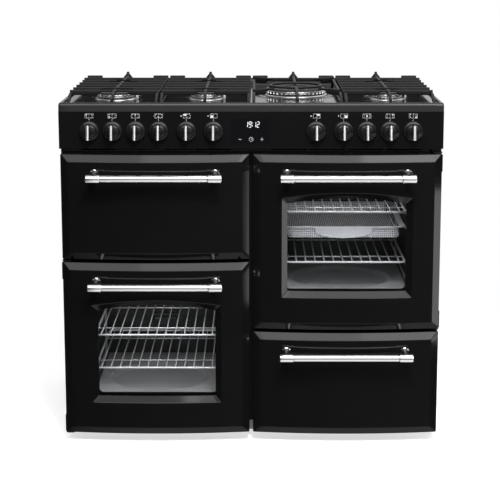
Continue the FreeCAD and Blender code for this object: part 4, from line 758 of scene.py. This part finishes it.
SEGMENTS = {"a": ((0, 2), (1, 2)), "b": ((1, 2), (1, 1)), "c": ((1, 1), (1, 0)), "d": ((0, 0), (1, 0)),
            "e": ((0, 1), (0, 0)), "f": ((0, 2), (0, 1)), "g": ((0, 1), (1, 1))}
DIGITS = {"1": "bc", "2": "abged", "9": "abcdfg"}


def clock():
    """Four seven-part figures with a colon, and three touch marks below."""
    lines = []
    for place, figure in zip((0, 9.0, 21.0, 30.0), "1912"):
        for bar in DIGITS[figure]:
            ends = np.array(SEGMENTS[bar], float)
            middle = ends.mean(0)
            ends = middle + (ends - middle) * 0.80
            slant = ends[:, 1] * 0.5
            lines.append(np.stack([CLOCK_X + place + ends[:, 0] * FIGURE_W + slant,
                                   CLOCK_Z + ends[:, 1] * FIGURE_H], -1))
    form = Form().grids(strokes(lines, 0.85))
    form.grids(dots([(CLOCK_X + 18.4, CLOCK_Z + 4.0), (CLOCK_X + 18.9, CLOCK_Z + 11.2)], 0.9))
    form.piece("clock_figures", "cooker", "display_glass", LIT)
    z = TOUCH_Z
    minus, plus = ((-33, z), (-25, z)), (((24, z), (32, z)), ((28, z - 4), (28, z + 4)))
    marks = Form().grids(strokes([minus], 0.9))
    marks.grids(strokes(circle_lines((0, z), 5.2, 20), 0.8))
    marks.grids(strokes([((0, z), (0, z + 3.6)), ((0, z), (2.6, z))], 0.8))
    marks.grids(strokes(plus, 0.9))
    marks.piece("touch_marks", "cooker", "display_glass", PRINT)


def fascia_marks():
    """Generic marks over the knobs: a small plan of the burners with one picked out, or of the ovens with one
    filled, and two dots that point down at the knob."""
    form = Form()
    z = SYMBOL_Z

    def outline(x0, x1, width):
        low, high = z - 5.4, z + 5.4
        corners = np.array([(x0, low), (x1, low), (x1, high), (x0, high), (x0, low)], float)
        form.grids(strokes(np.stack([corners[:-1], corners[1:]], 1), width))
    plan = [(-7.2, 2.9), (-7.2, -2.9), (0.0, 2.9), (0.0, -2.9), (0.0, 0.0), (7.2, 2.9), (7.2, -2.9)]
    for (a, b), x in zip(plan, GAS_KNOBS):
        outline(x - 10.6, x + 10.6, 0.55)
        form.grids(dots([(x + i, z + j) for i, j in plan if j], 0.95, 10))
        form.grids(dots([(x + a, z + b)], 2.1))
    for x, across, (up, tall) in zip(OVEN_KNOBS, (-3.4, -3.4, 5.6, 5.6), ((2.6, 4.6), (-1.8, 6.2)) * 2):
        outline(x - 8.0, x + 10.0, 0.6)
        form.grids(strokes([((x + 1.2, z - 5), (x + 1.2, z + 5))], 0.6))
        form.grids(strokes([((x + across - 3.4, z + up), (x + across + 3.4, z + up))], tall))
        form.grids(dots([(x - 13.5, z)], 1.6, 8))
    for x in GAS_KNOBS + OVEN_KNOBS:
        form.grids(dots([(x, z - 9.6), (x, z - 12.6)], 0.85, 8))
    form.piece("fascia_marks", "cooker", "fascia_enamel", PRINT)


# ---- racks, ladders and basket ----
def oven_wires():
    """Racks and side ladders of both ovens, from round wire."""
    y0, y1 = RACK_Y
    xs = (np.arange(RODS) - (RODS - 1) / 2) * ROD_PITCH
    racks, ladders = Form(), Form()
    for side, (cx, low, high, levels) in OVENS.items():
        rim = rounded_rectangle(cx - RACK_HALF, cx + RACK_HALF, y0, y1, 9.0, 7, 1)
        rim = np.concatenate([rim, rim[:2]])
        for z in levels:
            racks.grid(tube(lying(rim, z), RACK_RIM_R, 12))
            start = np.column_stack([cx + xs, np.full(RODS, y0 + 1), np.full(RODS, z)])
            racks.grids(wires(start, start + (0, y1 - y0 - 2, 0), ROD_R))
            ends = [[(cx + s * RACK_HALF, y, z - 2.4) for y in CROSS_ROD_Y] for s in (-1, 1)]
            racks.grids(wires(*ends, ROD_R))
        seats = [z - 3.0 for z in levels] + ([BASKET_TOP - 3.0] if side == "right" else [])
        front, back = LADDER_Y
        lo, hi = low + 14, high - 14
        frame_line = np.concatenate([rounded_rectangle(front, back, lo, hi, 8.0, 6, 1)] * 2)[:30]
        posts = (front + 20, back - 20)
        for sign in (-1, 1):
            x = cx + sign * (LINER_HALF - 2.6)
            rail = cx + sign * (RACK_HALF + 1.25)
            path = np.column_stack([np.full(len(frame_line), x), frame_line])
            ladders.grid(tube(path, LADDER_R, 10, (1.0, 0.0, 0.0)))
            ladders.grids(wires([(x, y, lo) for y in posts], [(x, y, hi) for y in posts], LADDER_R))
            for seat in seats:
                z = seat - 2.5
                ladders.grids(wires([(rail, front, z)], [(rail, back, z)], 2.5, 10))
                ladders.grids(wires([(x, y, z) for y in posts], [(rail, y, z) for y in posts], LADDER_R))
    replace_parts(racks.piece("oven_rack_wires", "cooker", "rack_chrome", CHROME), "oven_racks")
    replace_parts(ladders.piece("side_ladder_wires", "cooker", "rack_chrome", CHROME), "side_ladders")


def basket():
    """Pierced tray hung by a rolled rim, with a boat-shaped plate at its front."""
    cx, half, (y0, y1) = OVENS["right"][0], BASKET_HALF, BASKET_Y
    floor = BASKET_TOP - BASKET_DEPTH
    walls = ((0.0, BASKET_TOP - 2), (0.0, floor + 6), (2.0, floor + 2), (4.0, floor + 0.6), (7.0, floor))
    rows = [lying(rounded_rectangle(cx - half + e, cx + half - e, y0 + e, y1 - e, 14 - e * 0.3, 7, 8), z)
            for e, z in walls]
    middle = np.array([cx, (y0 + y1) / 2, floor])
    rows += [middle + (rows[4] - middle) * t for t in (0.6, 0.3, 0.0)]
    Form().grid(np.stack(rows)).piece("basket_mesh", "cooker", "rack_chrome", MESH, closed=False)
    rim = rounded_rectangle(cx - half - 13, cx + half + 13, y0 - 4, y1 + 4, 12, 7, 1)
    inner = rounded_rectangle(cx - half, cx + half, y0, y1, 14, 7, 1)
    lip = Form().grid(tube(lying(np.concatenate([rim, rim[:2]]), BASKET_TOP - 1.8), 1.7, 10))
    lip.grid(np.stack([lying(ring, BASKET_TOP - drop)
                       for ring, drop in ((rim, 1), (inner, 1), (inner, 2), (rim, 2))]))
    made = lip.piece("basket_rim", "cooker", "rack_chrome", CHROME, closed=False)
    turn = np.radians(np.linspace(90.0, 180.0, 7))
    shoulder = np.stack([84 + 10 * np.cos(turn), 14 * np.sin(turn) - 14], -1)
    across = np.linspace(73.9, 0.0, 14)
    keel = np.stack([across, -14 - 17 * (1 - (across / 74.0) ** 2) ** 0.62], -1)
    edge = np.concatenate([[(84, 0)], shoulder, keel])
    outline = np.concatenate([edge, edge[::-1][1:] * (-1, 1)]) + (cx, BASKET_TOP)
    middle = outline.mean(0)
    rows = [upright(middle + (outline - middle) * share, y)
            for share, y in ((0.0, 52.0), (0.985, 52.0), (1.0, 52.5), (1.0, 53.5), (0.985, 54.0),
                             (0.0, 54.0))]
    plate = Form().grid(np.stack(rows)).piece("basket_plate", "cooker", "rack_chrome", PLATE_STEEL)
    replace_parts(plate, "air_fry_basket")
    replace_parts(made, "air_fry_basket")


def cavity_liners():
    """Oven liners: a tube of rounded section, closed behind, with a flange at its mouth. The floor has a
    round dish, z = floor - depth * smooth step of the distance from the dish's middle."""
    front, back = LINER_Y
    depths = np.linspace(front, back, 113)
    for side, (cx, low, high, levels) in OVENS.items():
        def ring(grow, y, drop=0.0):
            half, bottom = LINER_HALF + grow, low - grow - drop
            return upright(rounded_rectangle(cx - half, cx + half, bottom, high + grow, 10.0, 4, 80), y)
        inside = np.stack([ring(0.0, y) for y in depths])
        away = np.hypot(inside[..., 0] - cx, inside[..., 1] - DISH_Y)
        on_floor = inside[..., 2] < low + 0.5
        inside[..., 2] -= np.where(on_floor, DISH_DEPTH * smooth((DISH_R - away) / 12.0), 0.0)
        middle = np.array([cx, back, (low + high) / 2])
        rows = [middle + (0, SHEET, 0) + 0 * inside[0], ring(SHEET, back + SHEET, DISH_DEPTH),
                ring(SHEET, front + SHEET, DISH_DEPTH), ring(11.0, front + SHEET), ring(11.0, front),
                ring(1.0, front)]
        paint = np.zeros((len(rows) + len(depths), inside.shape[1]), int)
        # The floor faces take the paler floor finish: painted light on a floor of the same enamel as the
        # walls.
        paint[len(rows):, on_floor[0]] = 1
        form = Form().grid(np.stack(rows + list(inside) + [middle + 0 * inside[0]]), paint=paint)
        made = form.piece(f"{side}_oven_liner", "cooker", "cavity_enamel", [CAVITY, LIT_FLOOR_PAINT])
        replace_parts(made, f"{side}_oven_cavity")


# ---- hob ----
def hob_tray():
    """Pressed hob: skirt, rolled rim and sloped sides as offset rings, then a floor with a groove round
    each burner, z = floor - depth * smooth ring of the distance."""
    profile = ((0.0, TRIM_BOTTOM), (0.0, HOB_TOP - 9), (0.25, HOB_TOP - 5.0), (1.2, HOB_TOP - 2.0),
               (3.0, HOB_TOP - 0.4), (5.0, HOB_TOP), (7.0, HOB_TOP - 0.5), (10.0, HOB_TOP - 3.6),
               (12.5, WELL_Z + 0.9), (15.5, WELL_Z + 0.1), (WELL_INSET, WELL_Z))
    rows = []
    for inset, z in profile:
        lean = min((z - TRIM_BOTTOM) / (HOB_TOP - 4 - TRIM_BOTTOM), 1.0) * 3.0
        back = (580.0 if inset > 5.5 else DEPTH - 1.0) - inset
        ring = rounded_rectangle(-HALF + inset, HALF - inset, lean + inset, back, 4.0 + inset * 0.6, 7, 40)
        rows.append(lying(ring, z))
    x = np.linspace(-HALF + WELL_INSET, HALF - WELL_INSET, 200)
    y = np.linspace(21.0, 562.0, 112)
    gx, gy = np.meshgrid(x, y, indexing="ij")
    dip = sum(np.exp(-((np.hypot(gx - bx, gy - by) - (r + 22)) / 4.0) ** 2) for bx, by, r in BURNERS + (WOK,))
    edge = np.minimum.reduce([gx - x[0], x[-1] - gx, gy - y[0], y[-1] - gy])
    floor = np.stack([gx, gy, WELL_Z - GROOVE_DEPTH * dip * np.clip(edge / 12.0, 0, 1)], -1)
    form = Form().grid(np.stack(rows)).grid(floor, wrap=False)
    tray = form.piece("hob_pressing", "cooker", "hob_enamel", HOB_ENAMEL, closed=False, sharp=50.0)
    lip = soften([(578, HOB_TOP - 1), (583, HOB_TOP), (586.5, HOB_TOP + 8), (590, HOB_TOP + 10),
                  (597.5, HOB_TOP + 10), (600, HOB_TOP + 7.5), (600, TRIM_BOTTOM)], 2.5, 5)
    middle = lip * 0 + lip.mean(0)
    ends = [(-HALF, middle), (-HALF, lip), (HALF, lip), (HALF, middle)]
    rear = np.stack([np.column_stack([np.full(len(lip), x), outline]) for x, outline in ends])
    upstand = Form().grid(rear).piece("hob_rear_lip", "cooker", "hob_enamel", HOB_ENAMEL)
    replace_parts(tray, "hob_tray")
    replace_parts(upstand, "hob_tray")


def crown(x, y, r, ports, low=4.0, inner=None):
    """Turned crown whose rim is notched by flame ports: radius less a square wave of the angle."""
    inner = r * 0.3 if inner is None else inner
    top = CROWN_TOP
    profile = [(inner, low), (inner + 1, top), (r - 1.2, top), (r - 0.2, top - 0.8), (r, top - 1.6),
               (r, top - 5.5), (r - 0.4, low + 4.4), (r * 0.9, low + 1), (inner, low)]
    rings = lathe((x, y, WELL_Z), profile, "Z", ports * 8)
    reach = np.array([0, 0, 0.3, 1, 1, 1, 0, 0, 0])[:, None, None]
    notch = np.tile([0, 0, 0, 0, 0, 0, 1, 1], ports)[None, :, None] * reach
    rings[..., :2] = (x, y) + (rings[..., :2] - (x, y)) * (1 - notch * PORT_DEPTH / r)
    return rings


def turning(x, y, profile, radius, steps, sides):
    """A profile with softened corners, turned about an upright axis on the hob's well."""
    return lathe((x, y, WELL_Z), soften(profile, radius, steps), "Z", sides)


def burners():
    """Cups, notched crowns, caps and igniters of the six round burners and the wok burner."""
    cups, crowns, caps, sparks = Form(), Form(), Form(), Form()
    under = CROWN_TOP + 0.1
    for x, y, r in BURNERS:
        cup = [(r * 0.3, 3.5), (r * 0.8, 4), (r + 3.5, 3.2), (r + 6, 0.6), (r + 6, -0.4), (r * 0.55, -0.5),
               (r * 0.55, -30), (r * 0.3, -30), (r * 0.3, 3.5)]
        cap = [(0, under), (r - 1.5, under), (r - 0.6, 16.2), (r - 1.4, 18.4), (r - 5, 19.8), (r * 0.7, 20.5),
               (0, 20.5)]
        cups.grid(turning(x, y, cup, 1.0, 3, 64))
        crowns.grid(crown(x, y, r, 24))
        caps.grid(turning(x, y, cap, 1.2, 4, 64))
        for dx, dy, high, thick in ((r + 9, 4, 15, 2.3), (r + 7, -12, 13, 1.8)):
            pin = [(0, -2), (thick, -2), (thick, high * 0.7), (thick * 0.5, high * 0.75), (thick * 0.4, high),
                   (0, high)]
            sparks.grid(turning(x + dx, y + dy, pin, 0.3, 3, 14))
    x, y, r = WOK
    cups.grid(turning(x, y, [(12, 3), (r + 2.5, 3.2), (r + 5, 0.6), (r + 5, -0.4), (38, -0.5), (30, -36),
                             (12, -36), (12, 3)], 1.0, 3, 80))
    crowns.grid(crown(x, y, r, 40, 3.0, r - 24)).grid(crown(x, y, 27.0, 16, 3.0, 8.0))
    for degrees in (30, 150, 270):
        a = math.radians(degrees)
        along, hub = np.array([math.cos(a), math.sin(a), 0]), np.array([x, y, WELL_Z + 7.5])
        crowns.grid(tube(np.linspace(hub + along * 25, hub + along * (r - 20), 4), 4.3, 12))
    ring = [(r - 25, under), (r - 1, under), (r - 1.5, 18), (r - 5, 20), (r - 21, 20), (r - 25, 17),
            (r - 25, under)]
    caps.grid(turning(x, y, ring, 1.5, 4, 80))
    caps.grid(turning(x, y, [(0, under), (26, under), (25.4, 18), (20, 20.5), (0, 20.5)], 1.5, 4, 48))
    for dx, dy in ((r + 9, 0), (r + 8, -16)):
        pin = [(0, -2), (2.2, -2), (2.2, 10), (1, 11), (0.8, 14), (0, 14)]
        sparks.grid(turning(x + dx, y + dy, pin, 0.3, 3, 14))
    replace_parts(cups.piece("burner_cup_turnings", "cooker", "burner_alloy", ALLOY), "burner_cups")
    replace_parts(crowns.piece("burner_crown_castings", "cooker", "burner_alloy", ALLOY), "burner_crowns")
    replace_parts(caps.piece("burner_cap_castings", "cooker", "cap_enamel", CAP), "burner_caps")
    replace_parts(sparks.piece("igniter_pins", "cooker", "unit_plastic", CERAMIC), "igniters")


def rib(start, end, top, low, stations, width=8.0):
    """Cast rib between two (x, y) points: a rounded, slightly drafted section that runs from low to top,
    which are heights at fractions of the length."""
    t = np.linspace(0, 1, stations)
    a, b = np.asarray(start, float), np.asarray(end, float)
    along = (b - a) / np.linalg.norm(b - a)
    w = width / 2
    left = [(-w + 2.2, 1, 0), (-w + 0.7, 1, -0.5), (-w + 0.1, 1, -2.0), (-w + 0.5, 0, 1.6),
            (-w + 1.2, 0, 0.4), (-w + 2.4, 0, 0)]
    side, share, shift = np.array(left + [(-x, s, z) for x, s, z in left[::-1]]).T
    high, deep = top(t)[:, None], low(t)[:, None]
    z = deep + (high - deep) * share + shift
    xy = (a + (b - a) * t[:, None])[:, None] + side[None, :, None] * np.array([-along[1], along[0]])
    rings = np.concatenate([xy, z[..., None]], -1)
    caps = [np.repeat(rings[k].mean(0)[None, None], rings.shape[1], 1) for k in (0, -1)]
    return np.concatenate([caps[0], rings, caps[1]])


def line(*pairs):
    """A height that runs straight between (fraction, height) pairs; one pair is a level line."""
    at, height = np.array(pairs, float).T
    return lambda t: np.interp(t, at, height)


def pan_support(index):
    """One cast support: side rails on legs, cross ribs, a spine with its horn, and a rear bar with blocks."""
    cx = SUPPORT_X[index - 1]
    top, low, foot, clear = SUPPORT_TOP, SUPPORT_TOP - RIB_H, WELL_Z + 0.05, WELL_Z + SUPPORT_CLEAR
    y0, y1 = SUPPORT_Y
    rear = y1 - 4
    form = Form()

    def over_burner(base, inside):
        """An underside at base, raised where it is inside a burner's edge by this distance."""
        return np.maximum(base, low + (clear - low) * smooth(inside / 5.0))

    def along_y(start, end, tops, lows, x, cuts=()):
        """A rib along y, its heights given at places in y, with its underside raised over the burners."""
        def height(t, pairs):
            return np.interp(start + (end - start) * t, *np.array(pairs).T)

        def lower(t):
            base = height(t, lows)
            for by, r in cuts:
                base = over_burner(base, r - np.abs(start + (end - start) * t - by))
            return base
        form.grid(rib((x, start), (x, end), lambda t: height(t, tops), lower, 70))

    for s in (-1, 1):
        along_y(y0 - 62, y1, [(y0 - 62, foot + 3), (y0 - 50, foot + 9), (y0 - 22, top - 8), (y0, top - 6),
                              (y1, top - 6)],
                [(y0 - 62, foot), (y0 - 46, foot), (y0 - 18, low - 4), (y0, low - 1), (y1 - 22, low - 1),
                 (y1 - 14, foot), (y1, foot)], cx + s * (SUPPORT_HALF - 4))
        form.grid(rib((cx + s * SUPPORT_HALF, rear), (cx + s * (SUPPORT_HALF - BLOCK_W), rear),
                      line((0, top - 0.6), (0.06, top), (0.94, top), (1, top - 0.6)), line((0, low)), 12))
    form.grid(rib((cx - SUPPORT_HALF + 2, rear), (cx + SUPPORT_HALF - 2, rear), line((0, top - 7)),
                  line((0, low - 2)), 12))
    start = y0 - 74
    if index == 3:
        burner = [(WOK[1], WOK[2] + 8)]
        pieces = ((start, WOK[1] - 66), (WOK[1] + 66, y1))
    else:
        burner = [(y, r + 8) for x, y, r in BURNERS if abs(x - cx) < 1]
        near, far = burner[0][0], burner[1][0]
        pieces = ((start, near - FINGER_GAP), (near + FINGER_GAP, far - FINGER_GAP), (far + FINGER_GAP, y1))
    tops = [(start, foot + 2), (y0 - 66, foot + 8), (y0 - 40, top - 7), (y0, top), (y1 - 26, top),
            (y1 - 6, HORN_TOP), (y1, HORN_TOP)]
    lows = [(start, foot), (y0 - 58, foot), (y0 - 34, low - 3), (y0, low), (y1, low)]
    for first, last in pieces:
        along_y(first, last, tops, lows, cx, burner)
    form.grid(rib((cx - 13, rear), (cx + 13, rear), line((0, top - 5), (0.5, HORN_TOP), (1, top - 5)),
                  line((0, low)), 13, 7.0))
    if index == 3:
        ring = soften([(66, clear), (66, top), (74, top), (74, clear)], 1.6, 4, closed=True)
        form.grid(lathe((cx, WOK[1], 0), np.concatenate([ring, ring[:1]]), "Z", 72))
        for s in (-1, 1):
            for y, spread in ((y0 + 20, 40), (y1 - 40, -60)):
                a, b = (cx + s * (SUPPORT_HALF - 3), y), (cx + s * 62, y + spread)
                hit = 1 - 22.0 / math.dist(a, b)
                form.grid(rib(a, b, line((0, top)), line((0, low), (hit - 0.1, low), (hit, clear)), 24))
    else:
        x0, x1 = cx - SUPPORT_HALF + 1, cx + SUPPORT_HALF - 1
        for y in y0 + 4 + np.arange(6) * (y1 - y0 - 8) / 6:
            crossed = any(abs(y - by) < FINGER_GAP for by, r in burner)
            for a, b in ((x0, cx - FINGER_GAP), (cx + FINGER_GAP, x1)) if crossed else ((x0, x1),):
                def lower(t, a=a, b=b, y=y):
                    x = a + (b - a) * t - cx
                    base = np.interp(np.abs(x), (SUPPORT_HALF - 14, SUPPORT_HALF), (low + 2, low))
                    for by, r in burner:
                        base = over_burner(base, r - np.hypot(x, y - by))
                    return base
                form.grid(rib((a, y), (b, y), line((0, top)), lower, 60, 7.6))
    made = form.piece(f"pan_support_{index}_casting", f"pan_support_{index}", "cast_iron", IRON)
    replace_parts(made, f"pan_support_{index}")


# ---- small fixings ----
def fixings():
    """Screw heads round the edges of the back panel."""
    head = soften([(0, 0.4), (1.1, 0.5), (1.3, 1.5), (2.6, 1.3), (3.6, 0.3), (3.7, -0.3)], 0.4, 3)
    places = [(x, z) for x in (-470, -240, 0, 240, 470) for z in (60, 860)]
    places += [(x, z) for x in (-488, 488) for z in (260, 460, 660)]
    form = Form()
    for x, z in places:
        form.grid(lathe((x, BACK_Y, z), head, "Y", 12))
    form.piece("back_screws", "cooker", "galvanised", PIPE_STEEL, closed=False)


doors()
handles()
controls()
clock()
fascia_marks()
oven_wires()
basket()
cavity_liners()
hob_tray()
burners()
for number in (1, 2, 3, 4):
    pan_support(number)
fixings()


# ---- studio ----
class Surround(Shader):
    """The same node method, on a world's tree."""
    def __init__(self):
        world = bpy.data.worlds.new("surround")
        world.use_nodes = True
        bpy.context.scene.world = world
        self.tree = world.node_tree
        self.tree.nodes.clear()
        self.output = self.tree.nodes.new("ShaderNodeOutputWorld")

    def background(self, shade, strength):
        """A plain or patterned light from all round."""
        return self.node("Background", None, {"Color": colour(shade), "Strength": strength})


def surround():
    """World that is white for the camera, soft grey for diffuse rays, and for mirrors a pale wall with a dark
    band ahead, a dark top and a grey side behind."""
    s = Surround()
    way = s.node("TexCoord")
    x, y, z = (s.node("SeparateXYZ", None, {0: way}, i) for i in range(3))
    wall = x.over(-0.22, 0.16) * (1 - x.over(0.66, 0.08) * 0.85) * 0.85 + 0.15
    band = z.over(-0.45, 0.03) * (1 - z.over(-0.055, 0.03))
    dim = x.over(0.0, 0.42) * (1 - x.over(0.60, 0.08)) * 0.14 + 0.01
    above = z.over(0.62, 0.08)
    level = (wall * (1 - band) + dim * band) * (1 - above) + above * 0.10
    behind = y.over(0.1, 0.25)
    level = level * (1 - behind) + behind * (x.over(0.0, 0.3) * 0.4 + 0.5)
    mirrored = s.background(level.blend(0.0, 1.0), 1.0)
    is_camera, is_diffuse = s.node("LightPath"), s.node("LightPath", out=2)
    around = s.node("MixShader", None, {0: is_diffuse, 1: mirrored, 2: s.background(1.0, 0.30)})
    mix = s.node("MixShader", None, {0: is_camera, 1: around, 2: s.background(1.0, 1.0)})
    s.tree.links.new(mix.link, s.output.inputs[0])


def floor():
    """Pale floor that keeps the object's shadow, fades into the surround and is clear to mirrored rays."""
    size = 3.0
    mesh = bpy.data.meshes.new("studio_floor")
    corners = [(x * size, y * size, 0) for x, y in ((-1, -1), (1, -1), (1, 1), (-1, 1))]
    mesh.from_pydata(corners, [], [(0, 1, 2, 3)])
    put("studio_floor", mesh)
    f = Shader("pale_floor")
    away = f.node("VectorMath", {"operation": "LENGTH"}, {0: f.place((1.0, 1.25, 1.0))}, 1)
    is_camera, is_glossy = f.node("LightPath"), f.node("LightPath", out=3)
    fade = (1 - away.over(1.25, 0.45)) * (1 - is_glossy)
    diffuse = f.node("BsdfDiffuse", None, {"Color": colour(0.86)})
    lift = f.node("Emission", None, {"Color": colour(1.0), "Strength": is_camera * 0.55})
    both = f.node("AddShader", None, {0: diffuse, 1: lift})
    cover = f.node("MixShader", None, {0: fade, 1: f.node("BsdfTransparent"), 2: both})
    f.tree.links.new(cover.link, f.output.inputs[0])
    mesh.materials.append(f.material)


def softbox(name, place, target, width, height, power):
    """A rectangular lamp at a place, turned to a target; sizes in metres, power in watts."""
    lamp = bpy.data.lights.new(name, "AREA")
    lamp.shape, lamp.size, lamp.size_y, lamp.energy = "RECTANGLE", width, height, power
    made = put(name, lamp)
    made.location = place
    made.rotation_euler = Vector(np.subtract(target, place)).to_track_quat("-Z", "Y").to_euler()
    return made


def lamps():
    """Key lamp, banks that the bevels mirror, lamps over the window sills and one under each oven ceiling."""
    key = softbox("key", (0.25, -2.0, 3.05), (0.0, 0.0, 0.45), 0.42, 0.42, 92.0)
    key.visible_glossy = False
    for x, upper, lower in ((-1.15, 5.5, 11.0), (0.0, 8.5, 14.0), (1.15, 14.0, 18.0)):
        softbox(f"upper_bank_{x:+.0f}", (x, BANK_Y, 2.78), (x, -0.27, 0.8), 1.15, 0.34, upper)
        softbox(f"lower_bank_{x:+.0f}", (x, BANK_Y, 2.03), (x, -0.27, 0.4), 1.15, 0.66, lower)
    softbox("top_left", (-0.62, -1.52, 3.0), (-0.4, -0.3, 0.2), 1.25, 0.7, 6.5)
    softbox("top_right", (0.50, -1.18, 3.0), (0.3, -0.3, 0.4), 1.45, 0.6, 14.0)
    softbox("side_panel", (1.4, -0.63, 0.27), (0.1, -0.27, 0.5), 0.5, 0.5, 4.0)
    softbox("top_rear", (0.2, 1.2, 2.6), (0.0, 0.0, 0.9), 2.4, 0.9, 6.0)
    for (side, (cx, low, high, levels)), power in zip(OVENS.items(), (0.75, 0.40)):
        place, target = metres((cx, 75.0, high - 8.0)), metres((cx, 230.0, low))
        softbox(f"{side}_oven_lamp", place, target, 0.28, 0.03, power)


def camera():
    """The photograph's camera, with a slight tilt and a small shift."""
    lens = bpy.data.cameras.new("photo_camera")
    made = put("photo_camera", lens)
    bpy.context.scene.camera = made
    made.location = (0.0162, -4.0153, 1.329)
    tilt, pan = 0.1765, -0.002
    made.rotation_euler = (math.pi / 2 - tilt, 0.0, -pan)
    lens.sensor_width = 36.0
    lens.lens = FOCAL_PX / PICTURE_PX * lens.sensor_width
    lens.shift_x, lens.shift_y = -0.0089, -0.10
    bpy.context.scene.view_settings.view_transform = "Standard"


surround()
floor()
lamps()
camera()
